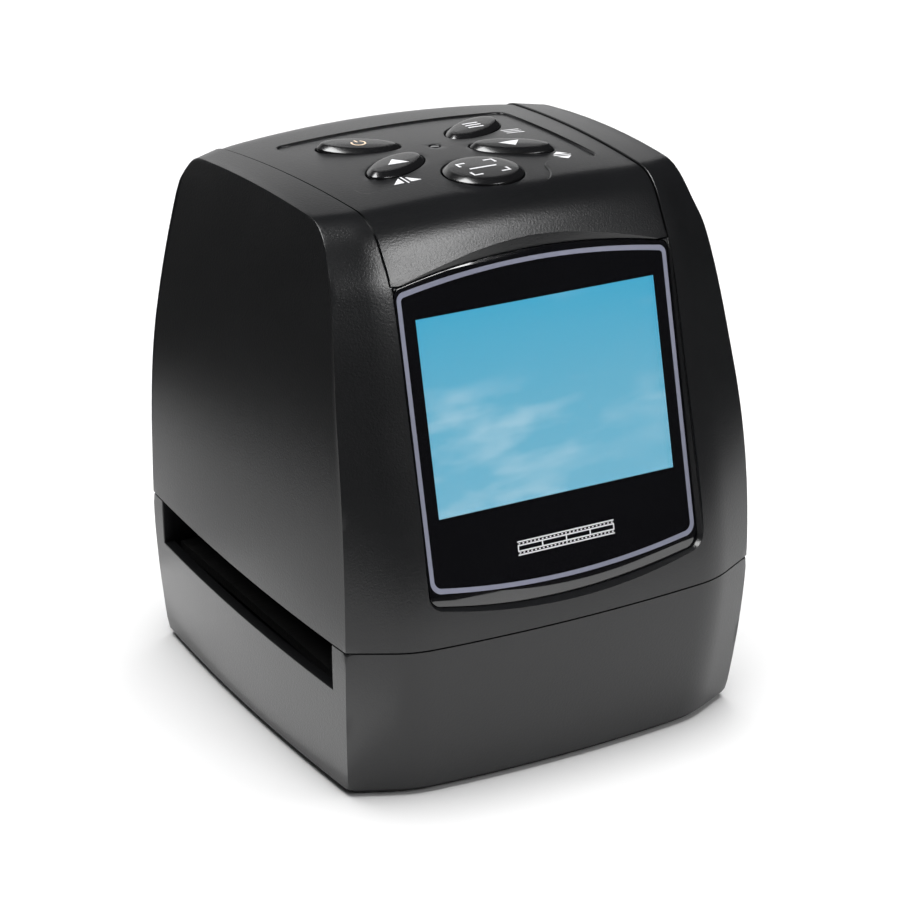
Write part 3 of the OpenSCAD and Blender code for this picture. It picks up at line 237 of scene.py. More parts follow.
def wrap_point(p, s, w):
    side, a = math.copysign(1, s), abs(s)
    if a <= 1 - soft_in:
        return cross_point(p, s, w)
    knee, edge = cross_point(p, side, w), cross_point(p, 2 * side, w)
    if a >= 1 + soft_out:
        return tuple(bend(knee, [mix(u, v, 0.5) for u, v in zip(knee, edge)], edge, a - 1))
    end = [mix(u, v, soft_out) for u, v in zip(knee, edge)]
    start = cross_point(p, side * (1 - soft_in), w)
    return tuple(bend(start, knee, end, (a - 1 + soft_in) / (soft_in + soft_out)))


stations = spread(0, 1 - soft_in, 14)[:-1] + spread(1 - soft_in, 1 + soft_out, 7)[:-1] + spread(1 + soft_out, 2, 6)
stations = [-s for s in reversed(stations[1:])] + stations
edge_line = profile(0, base_h)
edge_line = [wrap_point(p, 2, 0) for p in edge_line[row_count:len(edge_line) - row_count]]
shares = [(p[1] - edge_line[0][1]) / (edge_line[-1][1] - edge_line[0][1]) for p in edge_line]
across, along = len(stations), len(shares) - 1
ring_n = 2 * (across + along - 1)


def ring(front, rear, lifts, w):
    """One closed row round the casing: the front, the right side, the back and the left side."""
    ends = {side: (wrap_point(front, 2 * side, w), wrap_point(rear, 2 * side, w)) for side in (1, -1)}

    def panel(c, side):
        f, b = ends[side]
        u = shares[c]
        z = mix(f[2], b[2], u) + lifts[c]
        bow = side_crown * (1 - 0.5 * rise(z)) * 4 * u * (1 - u)
        return (side * (half_w(z, w) + bow), mix(f[1], b[1], u), z)

    inner = range(1, along)
    return ([wrap_point(front, s, w) for s in stations] + [panel(c, 1) for c in inner]
            + [wrap_point(rear, s, w) for s in reversed(stations)] + [panel(c, -1) for c in reversed(inner)])


def new_object(name, mesh):
    piece = bpy.data.objects.new(name, mesh)
    scene.collection.objects.link(piece)
    return piece


def solid(points, faces, name="tool", rounds=()):
    """A closed body from points in millimetres, with the edges in rounds rounded off."""
    work = bmesh.new()
    verts = [work.verts.new(Vector(p) * MM) for p in points]
    for face in faces:
        work.faces.new([verts[i] for i in face])
    edges = [work.edges.get((verts[a], verts[b])) for a, b in rounds]
    if edges:
        bmesh.ops.bevel(work, geom=edges, offset=edge_r * MM, offset_type="OFFSET", segments=3,
                        profile=0.5, affect="EDGES", clamp_overlap=True)
    bmesh.ops.recalc_face_normals(work, faces=work.faces)
    mesh = bpy.data.meshes.new(name)
    work.to_mesh(mesh)
    work.free()
    return new_object(name, mesh)


def loops(count, rows):
    """Faces between rows of count points each, all the way round."""
    return [(r * count + i, r * count + (i + 1) % count, (r + 1) * count + (i + 1) % count, (r + 1) * count + i)
            for r in range(rows) for i in range(count)]


def tube(rings, name="tool", rounds=()):
    """A closed body from rings of as many points each, with both its ends filled."""
    n, last = len(rings[0]), len(rings) - 1
    ends = [tuple(range(n)), tuple(range(n * last, n * last + n))]
    return solid([q for one in rings for q in one], ends + loops(n, last), name, rounds)


def upright_edges(rows):
    """The casing's four upright edges in a stack of rings, as pairs of point numbers."""
    corners = [0, across - 1, across + along - 1, 2 * across + along - 2]
    return [(r * ring_n + i, (r + 1) * ring_n + i) for r in range(rows) for i in corners]


def upper_form(w, z0, name="tool", drop=0.0, rounded=True):
    """The whole upper form as a closed body, its faces moved in by w."""
    line = profile(w, z0)
    m = len(line) - 1
    edge = [wrap_point(p, 2, w) for p in line[row_count:m - row_count + 1]]
    arch = [q[2] - mix(edge[0][2], edge[-1][2], s) for q, s in zip(edge, shares)]
    points = [q for r in range(row_count + 1)
              for q in ring(line[r], line[m - r], [a * (r / row_count) ** 5 for a in arch], w)]
    points += [wrap_point(line[row_count + c], s, w) for c in range(1, along) for s in stations[1:-1]]
    top0 = row_count * ring_n

    def at(c, k):
        """Number of the top's point in row c and column k; its rim is the last ring."""
        if c == 0:
            return top0 + k
        if c == along:
            return top0 + 2 * across + along - 2 - k
        if k == across - 1:
            return top0 + across + c - 1
        return top0 + ring_n + (c - 1) * (across - 2) + k - 1 if k else top0 + ring_n - c

    faces = [tuple(range(ring_n))] + loops(ring_n, row_count)
    faces += [(at(c, k), at(c, k + 1), at(c + 1, k + 1), at(c + 1, k))
              for c in range(along) for k in range(across - 1)]
    rounds = []
    if rounded:
        rounds = upright_edges(row_count) + [(at(c, k), at(c + 1, k)) for c in range(along) for k in (0, across - 1)]
        rounds += [(i, (i + 1) % ring_n) for i in range(ring_n)]
    return solid([(x, y, z - drop) for x, y, z in points], faces, name, rounds)


def plate(outline, low, high, put=lambda x, y, z: (x, y, z), name="tool"):
    """An outline made thick from low to high; put turns its two places and a height into a point."""
    return tube([[put(x, y, h) for x, y in outline] for h in (low, high)], name)


def block(low, high, name="tool"):
    return plate([(low[0], low[1]), (high[0], low[1]), (high[0], high[1]), (low[0], high[1])], low[2], high[2],
                 name=name)


def oval(centre, a, b=None, turn=0.0, sides=48):
    """An ellipse, or a circle of radius a."""
    line = [(a * math.cos(math.tau * i / sides), (b or a) * math.sin(math.tau * i / sides)) for i in range(sides)]
    return [(centre[0] + x * math.cos(turn) - y * math.sin(turn), centre[1] + x * math.sin(turn) + y * math.cos(turn))
            for x, y in line]


def merged(pieces, name="tool"):
    """Several bodies that don't meet, as one."""
    work = bmesh.new()
    for piece in pieces:
        work.from_mesh(piece.data)
        bpy.data.objects.remove(piece)
    mesh = bpy.data.meshes.new(name)
    work.to_mesh(mesh)
    work.free()
    return new_object(name, mesh)


def baked(piece):
    """A body's modifiers turned into its plain mesh."""
    old = piece.data
    mesh = bpy.data.meshes.new_from_object(piece.evaluated_get(bpy.context.evaluated_depsgraph_get()))
    piece.modifiers.clear()
    piece.data = mesh
    bpy.data.meshes.remove(old)
    return piece


def worked(piece, *steps):
    """Cuts, joins or clips a body by others, in order, and drops those others."""
    for action, tool in steps:
        change = piece.modifiers.new(action, "BOOLEAN")
        change.operation = {"cut": "DIFFERENCE", "join": "UNION", "clip": "INTERSECT"}[action]
        change.solver = "MANIFOLD"
        change.object = tool
    baked(piece)
    for _, tool in steps:
        bpy.data.objects.remove(tool)
    return piece


band_front, band_back, band_sink, rear_seam = 28.1, 30.9, 0.3, 62


def band_x(y, w):
    return mix(band_front, band_back, clamp((y + brow_y) / (nape_y - 8 + brow_y), 0, 1)) + w


def band_outline(w, y0=-case_d):
    ys = [y0] + [y for y in (-brow_y, nape_y - 8) if y > y0] + [case_d]
    return [(band_x(y, w), y) for y in ys] + [(-band_x(y, w), y) for y in reversed(ys)]


def band_space(w):
    return worked(plate(band_outline(w), brow_z - w, 2 * case_h),
                  ("join", plate(band_outline(w, 0.0), rear_seam - w, 2 * case_h)))


def rear_space(w):
    return plate(band_outline(w, 10.0), base_h - 1, rear_seam + w)


def skin_at(p, x, w):
    """Point of the skin on a profile point's row at a given distance from the middle."""
    q = wrap_point(p, last_where(lambda s: wrap_point(p, s, w)[0] < abs(x), 0.0, 2.0, 24), w)
    return Vector((math.copysign(q[0], x), q[1], q[2]))


def seam_roundings(w, gap, inward, z_front, z_back):
    """Cutters that round both long seams of the band, on one side of the gap."""
    section = [(0.5, -rim_r)] + [(rim_r * math.cos(a) - rim_r, rim_r * math.sin(a) - rim_r) for a in quarter]
    section += [(-rim_r - 0.02, 0.5), (0.5, 0.5)]
    cutters = []
    for side in (1, -1):
        path = [skin_at((y, z), side * band_x(y, gap), w) for y, z in profile(w, base_h - 1)
                if not (y < 0 and z < z_front or y > 0 and z < z_back)]
        if inward:
            path.reverse()
        away, rings = Vector((-side if inward else side, 0, 0)), []
        for before, q, after in zip(path[:1] + path, path, path[1:] + path[-1:]):
            way = (after - before).normalized()
            out = away.cross(way).normalized()
            off = way.cross(out).normalized()
            rings.append([q + off * a + out * b for a, b in section])
        cutters.append(tube(rings))
    return merged(cutters)


# ---- recess of the window: straight sides, then lips that flare out to the skin
screen_lean = math.radians(14.93)
pane_y = 0.95 - chest_y
pane_half_w, pane_top, pane_bottom, pane_arch, pane_t, tape_t = 27.75, 23, 32.1, 3.1, 1.2, 0.2
window_gap = 0.15
lean_sin, lean_cos = math.sin(screen_lean), math.cos(screen_lean)


def on_window(x, up, height):
    """A point on the window's plane, or height in front of it."""
    return Vector((x, pane_y + up * lean_sin - height * lean_cos, mid_z + up * lean_cos + height * lean_sin))


def arc(cx, cy, r, a0, a1, steps=8):
    return [(cx + r * math.cos(math.radians(t)), cy + r * math.sin(math.radians(t))) for t in spread(a0, a1, steps)]


def arched_outline(half, top, low, arch, r_top, r_low):
    """A plate with arched ends: the top edge bows up, the lower edge bows down."""
    def bow(x):
        return arch * (1 - (x / half) ** 2)

    x_top, x_low = half - r_top, half - r_low
    y_top, y_low = top + bow(x_top) - r_top, low - bow(x_low) + r_low
    return ([(x, top + bow(x)) for x in spread(-x_top, x_top, 40)]
            + arc(x_top, y_top, r_top, 75, 0) + arc(x_low, y_low, r_low, 0, -75)
            + [(x, low - bow(x)) for x in spread(x_low, -x_low, 40)]
            + arc(-x_low, y_low, r_low, -105, -180) + arc(-x_top, y_top, r_top, 180, 105))


def window_outline(g):
    return arched_outline(pane_half_w + g, pane_top + g, -pane_bottom - g, pane_arch, 1.4 + g, 2.4 + g)


def outward(line):
    """Unit normals of an outline, pointing out."""
    area = sum(a[0] * b[1] - b[0] * a[1] for a, b in zip(line, line[1:] + line[:1]))
    normals = []
    for a, b in zip(line[-1:] + line, line[1:] + line[:1]):
        d = math.copysign(math.hypot(b[0] - a[0], b[1] - a[1]), -area)
        normals.append(((a[1] - b[1]) / d, (b[0] - a[0]) / d))
    return normals


lip_r, lip_lean, lip_lean_top, lip_drop = 0.15, 29, 75, 0.35


def window_cutter(w):
    """Cutter of the recess: straight up from the pane, then flaring, the most under the brow."""
    line, columns = window_outline(window_gap), []
    for (a, u), (na, nu) in zip(line, outward(line)):
        def height(off):
            """How far the skin lies in front of the window's plane."""
            def inside(h):
                q = on_window(a + off * na, u + off * nu, h)
                return q[1] > skin_at((front_y(q[2], w), q[2]), q[0], w)[1]
            return last_where(inside, -4.0, 9.0, 16)

        at_top = max(0.0, nu) ** 2 * math.sqrt(max(0.0, 1 - (a / pane_half_w) ** 2))
        flare, foot = math.tan(math.radians(mix(lip_lean, lip_lean_top, at_top))), -lip_drop * at_top
        off = last_where(lambda o: (height(o) - foot) * flare > o, 0.0, 4.0, 11) + 4 / 2 ** 12
        h = foot + off / flare
        end = (off + lip_r, height(off + lip_r) + 0.015)
        start = (off - lip_r * flare / (1 + flare), h - lip_r / (1 + flare))
        column = [(0, -pane_t - tape_t - 0.02), (0, foot)] + [bend(start, (off, h), end, t / 4) for t in range(5)]
        columns.append([on_window(a + o * na, u + o * nu, b) for o, b in column + [(end[0], 12)]])
    return tube(list(zip(*columns)))


panel_w, panel_l = 52, 38.6
ledge_back = pane_t + tape_t + 1.4


def rect(half_x, half_y, cx=0.0, cy=0.0):
    return [(cx - half_x, cy - half_y), (cx + half_x, cy - half_y), (cx + half_x, cy + half_y),
            (cx - half_x, cy + half_y)]


lid_top = base_h + groove / 2


def window_seat(w):
    """The ledge behind the window, as a closed frame cut to the skin."""
    return worked(upper_form(w, lid_top), ("clip", plate(window_outline(1.8), -ledge_back, 12, on_window)))


def screen_hole():
    return plate(rect(panel_w / 2 + 0.3, panel_l / 2 + 0.3), -ledge_back - 1, 0.5, on_window)


def hollow():
    return upper_form(wall, base_h - 1, rounded=False)


def four(x, y, *z):
    """A place and its mirror images on the four sides of the middle."""
    return [(sx * x, sy * y, *z) for sx in (-1, 1) for sy in (-1, 1)]


def posts(places, r, low, high, put=lambda x, y, z: (x, y, z), sides=48):
    """Round posts at places, as one body."""
    return merged([plate(oval(p, r, sides=sides), low, high, put) for p in places])


def fill(tree, node, values):
    """Sets a node's inputs: sockets are linked to them, anything else is their value."""
    for label, value in values.items():
        socket = node.inputs[label]
        if isinstance(value, bpy.types.NodeSocket):
            tree.links.new(value, socket)
        else:
            socket.default_value = (*value, 1) if socket.type == "RGBA" else value
    return node


def add(tree, kind, values, **settings):
    node = tree.nodes.new(kind)
    for label, value in settings.items():
        setattr(node, label, value)
    return fill(tree, node, values)


def noise(tree, place, scale, detail, seed=0.0):
    """A noise texture on object coordinates, in features per metre."""
    return add(tree, "ShaderNodeTexNoise", {"Vector": place, "W": seed, "Scale": scale, "Detail": detail},
               noise_dimensions="4D").outputs["Fac"]


def ramp(tree, value, low, high, out_low=0.0, out_high=1.0):
    return add(tree, "ShaderNodeMapRange", {"Value": value, "From Min": low, "From Max": high,
                                            "To Min": out_low, "To Max": out_high}).outputs["Result"]


def tone(tree, value, dark, light):
    return add(tree, "ShaderNodeMix", {"Factor": value, "A": dark, "B": light}, data_type="RGBA").outputs["Result"]


def relief(tree, height, depth):
    return add(tree, "ShaderNodeBump", {"Height": height, "Distance": depth * MM, "Strength": 1.0}).outputs["Normal"]


def node_group(name, kind, inputs, outputs):
    """An empty group with named sockets, and the outputs of its input node."""
    group = bpy.data.node_groups.new(name, kind + "NodeTree")
    for way, sockets in (("INPUT", inputs), ("OUTPUT", outputs)):
        for label, socket in sockets.items():
            group.interface.new_socket(label, in_out=way, socket_type="NodeSocket" + socket)
    return group, group.nodes.new("NodeGroupInput").outputs


# Spark-eroded skin: fine pits for the bump, and a slow mottle of sheen
eroded, given = node_group("eroded_skin", "Shader", {"Place": "Vector", "Fineness": "Float"},
                           {"Pits": "Float", "Mottle": "Float"})
scaled = add(eroded, "ShaderNodeVectorMath", {0: given["Place"], "Scale": given["Fineness"]},
             operation="SCALE").outputs[0]
fine_share = 0.6                # how much the finest pits add to the coarse ones
pits = add(eroded, "ShaderNodeMath", {0: noise(eroded, scaled, 5200, 2), 1: fine_share,
                                      2: noise(eroded, scaled, 2100, 1, 3.0)}, operation="MULTIPLY_ADD").outputs[0]
add(eroded, "NodeGroupOutput", {"Pits": pits, "Mottle": noise(eroded, given["Place"], 55, 3, 7.0)})


def shader(name):
    material = bpy.data.materials.new(name)
    material.use_nodes = True
    tree = material.node_tree
    return material, tree, tree.nodes["Principled BSDF"], tree.nodes.new("ShaderNodeTexCoord").outputs["Object"]


def moulded(name, dark, light, rough, fineness=1.0, pit_depth=0.012, rough_spread=0.05):
    """Moulded plastic with an eroded skin; colours are linear."""
    material, tree, surface, place = shader(name)
    texture = add(tree, "ShaderNodeGroup", {}, node_tree=eroded)
    fill(tree, texture, {"Place": place, "Fineness": fineness})
    mottle = texture.outputs["Mottle"]
    fill(tree, surface, {
        "Base Color": tone(tree, ramp(tree, mottle, 0.15, 0.85), dark, light), "IOR": 1.5,
        "Roughness": ramp(tree, mottle, 0.15, 0.85, rough - rough_spread, rough + rough_spread),
        "Normal": relief(tree, texture.outputs["Pits"], pit_depth)})
    return material


def true_skin(form):
    """The skin and the smooth normals of a whole form, kept from before it is cut."""
    mesh = form.data
    mesh.shade_smooth()
    mesh.set_sharp_from_angle(angle=math.radians(28))
    mesh.calc_loop_triangles()
    points = [vert.co.copy() for vert in mesh.vertices]
    triangles = [tuple(triangle.vertices) for triangle in mesh.loop_triangles]
    normals = [[mesh.corner_normals[loop].vector.copy() for loop in triangle.loops]
               for triangle in mesh.loop_triangles]
    return points, triangles, normals, BVHTree.FromPolygons(points, triangles)


def shade_like(mesh, kept):
    """Gives what is left of a cut skin the normals of the whole one, so that the cuts leave no waves."""
    points, triangles, normals, tree = kept
    corners = [n.vector.copy() for n in mesh.corner_normals]
    for face in mesh.polygons:
        for loop in face.loop_indices:
            corner = mesh.vertices[mesh.loops[loop].vertex_index].co
            near, flat, index, gap = tree.find_nearest(corner.lerp(face.center, 0.02))
            if gap < 0.03 * MM and face.normal.dot(flat) > 0.9:
                weights = poly_3d_calc([points[i] for i in triangles[index]], near)
                corners[loop] = sum((n * s for n, s in zip(normals[index], weights)), Vector()).normalized()
    mesh.normals_split_custom_set(corners)


def finished(piece, material, slot, *stands_for, body="scanner", angle=28, whole=None):
    """Smooth shading up to the sharp edges, the finish, and the piece's place in the frame."""
    piece.data.materials.clear()
    piece.data.materials.append(material)
    piece.data.shade_smooth()
    piece.data.set_sharp_from_angle(angle=math.radians(angle))
    if whole:
        shade_like(piece.data, whole)
    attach(piece, body)
    if stands_for:
        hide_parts(*stands_for)


casing_satin = moulded("casing_satin", (0.0056, 0.0058, 0.0064), (0.0082, 0.0085, 0.0093), 0.3, 1.2, 0.028, 0.022)
upper_case = upper_form(skin, lid_top, "upper_case_skin")
whole_case = true_skin(upper_case)
worked(upper_case, ("cut", hollow()), ("join", window_seat(skin)), ("cut", band_space(seam / 2)),
       ("cut", rear_space(seam / 2)), ("cut", window_cutter(skin)), ("cut", screen_hole()),
       ("cut", seam_roundings(skin, seam / 2, True, brow_z - 3, base_h)))
guide_z, guide_t = base_h - 0.05, 2
boss_z, slot_half = guide_z + guide_t + 0.1, 34.5
post_r, long_pilot, head_way = 3, 1.35, 2.2     # posts, and the holes for the long screws
small_pilot, small_way = 0.85, 1.05             # holes that a small screw bites into or passes
post_places = four(27, slot_half + 3.7)


def boss_webs():
    return merged([block((min(x, x * 2), y - 0.8, base_h + 5.8), (max(x, x * 2), y + 0.8, boss_z + 9))
                   for x, y in post_places])


tab_places, tab_z, tab_half = [(sx * 26.4, y) for sx in (-1, 1) for y in (-11, 20)], case_h - 8.4, 2.6


def beside_tabs(middle, half, z0, z1):
    """A block at each tab, with its middle at a given distance from the scanner's middle."""
    return merged([block((math.copysign(middle, x) - half, y - tab_half, z0),
                         (math.copysign(middle, x) + half, y + tab_half, z1)) for x, y in tab_places])


bracket_depth = ledge_back + 2.5
bracket_places = [(sx * (panel_w / 2 + 5.6), u) for sx in (-1, 1) for u in (-20, 14)]
bosses = worked(posts(post_places, post_r, boss_z, boss_z + 9), ("join", boss_webs()),
                ("clip", upper_form(wall + 0.1, lid_top, rounded=False)))
in_walls = worked(boss_webs(), ("cut", rear_space(0.2)), ("join", beside_tabs(32.6, 1.2, tab_z - 2, tab_z + 7)),
                  ("join", posts(bracket_places, 2.2, 0.05 - bracket_depth, 8 - bracket_depth, on_window, 32)),
                  ("clip", upper_form(wall / 2, lid_top, rounded=False)))
worked(upper_case, ("join", bosses), ("join", in_walls), ("join", beside_tabs(28.8, 5, tab_z - 2, tab_z)),
       ("cut", posts(post_places, long_pilot, boss_z - 1, boss_z + 7)),
       ("cut", posts(bracket_places, small_pilot, -bracket_depth - 1, 4.2 - bracket_depth, on_window, 24)),
       ("cut", posts(tab_places, small_pilot, tab_z - 3, tab_z + 1)))
finished(upper_case, casing_satin, "case_plastic", "upper_case", whole=whole_case)


# ---------------------------------------------------------------- top band
# A separate moulding in the same plastic, from the brow over the button deck
# down the back. It lies a hair below the cheeks, carries the sunk field with
# the five key holes, and four small screws hold it on tabs inside.
deck_under, field_sink = case_h - 3.4, 0.35
field_half_w, field_back, scan_y, bulge_r, field_corner, bulge_fillet = 24, 22, 11.8, 11.8, 1.5, 2.5
leaf_a, leaf_b, leaf_reach, leaf_turn = 7.8, 4.1, 13.85, math.radians(30)
light_y, scan_r, pipe_r = 5.3, 7.45, 1.1


def deck_z(x, y):
    return top_z(y, band_sink + field_sink) - fall(x, case_h)


def field_outline():
    """The sunk field: a rectangle with round corners, and a bulge in front round the scan key."""
    neck = math.sqrt((bulge_r + bulge_fillet) ** 2 - bulge_fillet ** 2)
    turn = math.degrees(math.asin(bulge_fillet / (bulge_r + bulge_fillet)))
    k, x = field_corner, field_half_w - field_corner
    back_row, front_row = field_back - k, k - scan_y
    line = arc(x, back_row, k, 90, 0, 4) + arc(x, front_row, k, 0, -90, 4)
    line += arc(neck, -scan_y - bulge_fillet, bulge_fillet, 90, 180 - turn, 6)
    line += arc(0, -scan_y, bulge_r, -turn, turn - 180, 40)[1:-1]
    line += arc(-neck, -scan_y - bulge_fillet, bulge_fillet, turn, 90, 6)
    return line + arc(-x, front_row, k, -90, -180, 4) + arc(-x, back_row, k, 180, 90, 4)


def rim_rows(depth, lift, r=rim_r):
    """Offsets and heights up a cutter's wall, which flares at the skin to round off the rim."""
    return [(0, -depth)] + [(r - r * math.cos(a), r * math.sin(a) - r) for a in quarter] + [(r + 0.02, lift)]


def rimmed(line, put, *sizes):
    """Cutter of an outline with a rounded rim; put gives the skin's point, moved out by a height."""
    return tube([[put(x + off * a, y + off * b, up) for (x, y), (a, b) in zip(line, outward(line))]
                 for off, up in rim_rows(*sizes)])


def leaf_place(side, end):
    return (side * leaf_reach * math.cos(leaf_turn), light_y + end * leaf_reach * math.sin(leaf_turn))


key_sides = {"power": (-1, 1), "menu": (1, 1), "mirror": (-1, -1), "flip": (1, -1)}
holes = [oval(leaf_place(side, end), leaf_a, leaf_b, side * end * leaf_turn, 72) for side, end in key_sides.values()]
holes += [oval((0, -scan_y), scan_r, sides=72), oval((0, light_y), pipe_r, sides=32)]
key_holes = merged([rimmed(line, lambda x, y, up: (x, y, deck_z(x, y) + up), 9, 4) for line in holes])
field_rim = 0.33
field = worked(rimmed(field_outline(), lambda x, y, up: (x, y, deck_z(x, y) + field_sink + up), 2.2, 4, field_rim),
               ("cut", upper_form(band_sink, rear_seam, drop=field_sink, rounded=False)))
deck_block = worked(upper_form(band_sink, rear_seam, rounded=False),
                    ("clip", block((-22, -21, deck_under), (22, 21, case_h + 5))))
top_band = upper_form(band_sink, rear_seam - 1, "top_band_skin")
whole_band = true_skin(top_band)
worked(top_band, ("cut", hollow()), ("join", window_seat(band_sink)), ("join", deck_block),
       ("clip", band_space(-seam / 2)), ("cut", window_cutter(band_sink)), ("cut", screen_hole()),
       ("cut", seam_roundings(band_sink, -seam / 2, False, brow_z, rear_seam)), ("cut", field), ("cut", key_holes))
finished(top_band, casing_satin, "case_plastic", "top_band", whole=whole_band)


# -------------------------------------------------------------- rear panel
# The lower half of the back, moulded in the same plastic and clipped in
# between the two back corners. It has the mouths of the USB and TV sockets
# and a finger notch at the card slot.
socket_board_z, socket_x = base_h + 3.8, 19
boards_t = 1.6
socket_floor = socket_board_z + boards_t
jack_z = socket_floor + 3
usb_w, usb_h, card_w, card_h, mouth_play = 7.8, 4, 28, 3.2, 0.5
usb_z, card_z = socket_floor + usb_h / 2, socket_floor + card_h / 2


def rounded_rect(half_x, half_y, cx, cy, r):
    return [p for sx, sy, start in ((1, 1, 90), (1, -1, 0), (-1, -1, -90), (-1, 1, 180))
            for p in arc(cx + sx * (half_x - r), cy + sy * (half_y - r), r, start, start - 90, 4)]


def on_back(x, z, up):
    return (x, skin_at((back_y(z, skin), z), x, skin)[1] + up, z)


mouths = merged([rimmed(line, on_back, 14, 6) for line in (
    rounded_rect(usb_w / 2 + mouth_play, usb_h / 2 + mouth_play, -socket_x, usb_z, 0.8),
    rounded_rect(card_w / 2 - 1.4, card_h / 2, 0, card_z, 0.3), oval((socket_x, jack_z), 3.4, sides=40))])
ball = bmesh.new()
bmesh.ops.create_uvsphere(ball, u_segments=64, v_segments=48, radius=8 * MM,
                          matrix=Matrix.Translation(Vector((0, case_d / 2 + front_crown + 6.6, card_z)) * MM))
finger_notch = new_object("finger_notch", bpy.data.meshes.new("finger_notch"))
ball.to_mesh(finger_notch.data)
ball.free()
rear_panel = upper_form(skin, lid_top, "rear_panel_skin")
whole_back = true_skin(rear_panel)
worked(rear_panel, ("cut", hollow()), ("clip", rear_space(-seam / 2)),
       ("cut", seam_roundings(skin, -seam / 2, False, 2 * case_h, base_h)), ("cut", mouths), ("cut", finger_notch))
finished(rear_panel, casing_satin, "case_plastic", "rear_panel", whole=whole_back)


# -------------------------------------------------------------- base casing
# The lower moulding, in the same charcoal plastic, with the film slot cut
# through both sides. Walls along the film channel and four posts rise inside.
base_foot, slot_z, deck_t, channel_wall = 1.5, 20.9, 1.8, 1.6
base_top, deck_foot = base_h - groove / 2, slot_z - 0.2 - deck_t


def base_form(w, z0, z1, name="tool", rounded=True, rows=14):
    rings = [ring((front_y(z, w), z), (back_y(z, w), z), [0] * len(shares), w) for z in spread(z0, z1, rows)]
    rounds = []
    if rounded:
        rounds = upright_edges(rows)
        rounds += [(r * ring_n + i, r * ring_n + (i + 1) % ring_n) for r in (0, rows) for i in range(ring_n)]
    return tube(rings, name, rounds)


def side_skin(side, y, z, up):
    """Point of a side panel of the base, moved out by a height."""
    f, b = [wrap_point((place(z, skin), z), 2, skin) for place in (front_y, back_y)]
    u = clamp((y - f[1]) / (b[1] - f[1]), 0, 1)
    return Vector((side * (half_w(z, skin) + side_crown * 4 * u * (1 - u) + up), y, z))


def slot_mouth(side):
    """Cutter for one end of the film slot, with a rounded rim at the skin and square corners."""
    rings = []
    for off, up in rim_rows(12, 3, 0.2):
        y_end, z_foot, z_end = slot_half + off, slot_z - off, base_h + 2
        line = [(y, z_foot) for y in spread(-y_end, y_end, 60)] + [(y_end, z) for z in spread(z_foot, z_end, 8)[1:]]
        line += [(-y_end, z) for z in spread(z_end, z_foot, 8)[:-1]]
        rings.append([side_skin(side, y, z, up) for y, z in line])
    return tube(rings)


def on_both(x0, x1, near, far, z0, z1):
    """Two blocks between x0 and x1, from near to far off the middle on either side."""
    return [block((x0, min(s * near, s * far), z0), (x1, max(s * near, s * far), z1)) for s in (1, -1)]


channel = on_both(-case_w / 2, case_w / 2, slot_half + 0.1, slot_half + 0.1 + channel_wall, 12, base_top)
ledges = on_both(-case_w / 2, case_w / 2, slot_half - 1.9, slot_half + 0.2, deck_foot - 1.7, deck_foot - 0.1)
ribs = merged([rib for x in (-30, 0, 30)
               for rib in on_both(x - 0.8, x + 0.8, slot_half, slot_half + 10, 3.2, base_h - 0.2)])
cover_screw_places, screw_seat = four(35, 12), 22
inside = worked(channel[0], *[("join", piece) for piece in [ledges[0], channel[1], ledges[1]]], ("join", ribs),
                ("join", posts(post_places, post_r, 2.9, base_h + 4)),
                ("join", posts(cover_screw_places, 2.6, 2.9, 11.9)),
                ("clip", base_form(wall / 2, base_foot, base_top, rounded=False)))
base_case = base_form(skin, base_foot, base_top, "base_case_skin")
whole_base = true_skin(base_case)
worked(base_case, ("cut", base_form(wall, base_foot - 1, base_h + 1, rounded=False)), ("join", inside),
       ("cut", block((-case_w, -slot_half, slot_z), (case_w, slot_half, 2 * base_h))),
       ("cut", slot_mouth(1)), ("cut", slot_mouth(-1)),
       ("cut", posts(post_places, head_way, base_foot - 1, screw_seat)),
       ("cut", posts(post_places, long_pilot, screw_seat - 1, base_h + 1.2)),
       ("cut", posts(cover_screw_places, small_way, 2, 9)))
finished(base_case, casing_satin, "case_plastic", "base_case", whole=whole_base)


# ------------------------------------------------------------ bottom cover
# A flat black plate that closes the base, set in a little from its edge so
# that it shows only as a dark line, with vents under the light board.
cover_inset, cover_z, spigot_top = 0.9, 0.5, 2.6
foot_places, foot_r, small_head_r = four(32.5, 30), 4, 1.9

# Copies of one object at the points of a mesh, turned and given a finish
copies, given = node_group("copies_at_points", "Geometry",
                           {"Geometry": "Geometry", "Part": "Object", "Turn": "Rotation", "Finish": "Material"},
                           {"Geometry": "Geometry"})
part_info = add(copies, "GeometryNodeObjectInfo", {"Object": given["Part"]})
on_points = add(copies, "GeometryNodeInstanceOnPoints", {"Points": given["Geometry"], "Rotation": given["Turn"],
                                                         "Instance": part_info.outputs["Geometry"]})
realized = add(copies, "GeometryNodeRealizeInstances", {"Geometry": on_points.outputs["Instances"]})
coated = add(copies, "GeometryNodeSetMaterial", {"Geometry": realized.outputs["Geometry"],
                                                 "Material": given["Finish"]})
add(copies, "NodeGroupOutput", {"Geometry": coated.outputs["Geometry"]})


def grown(name, places, part, finish, turn=(0, 0, 0)):
    """Copies of one body at places in millimetres, as one plain mesh; the body itself is dropped."""
    mesh = bpy.data.meshes.new(name)
    mesh.from_pydata([tuple(c * MM for c in p) for p in places], [], [])
    piece = new_object(name, mesh)
    grower = piece.modifiers.new("grower", "NODES")
    grower.node_group = copies
    values = {"Part": part, "Turn": turn, "Finish": finish}
    for item in copies.interface.items_tree:
        if item.in_out == "INPUT" and item.name in values:
            grower[item.identifier] = values[item.name]
    baked(piece)
    bpy.data.objects.remove(part)
    return piece


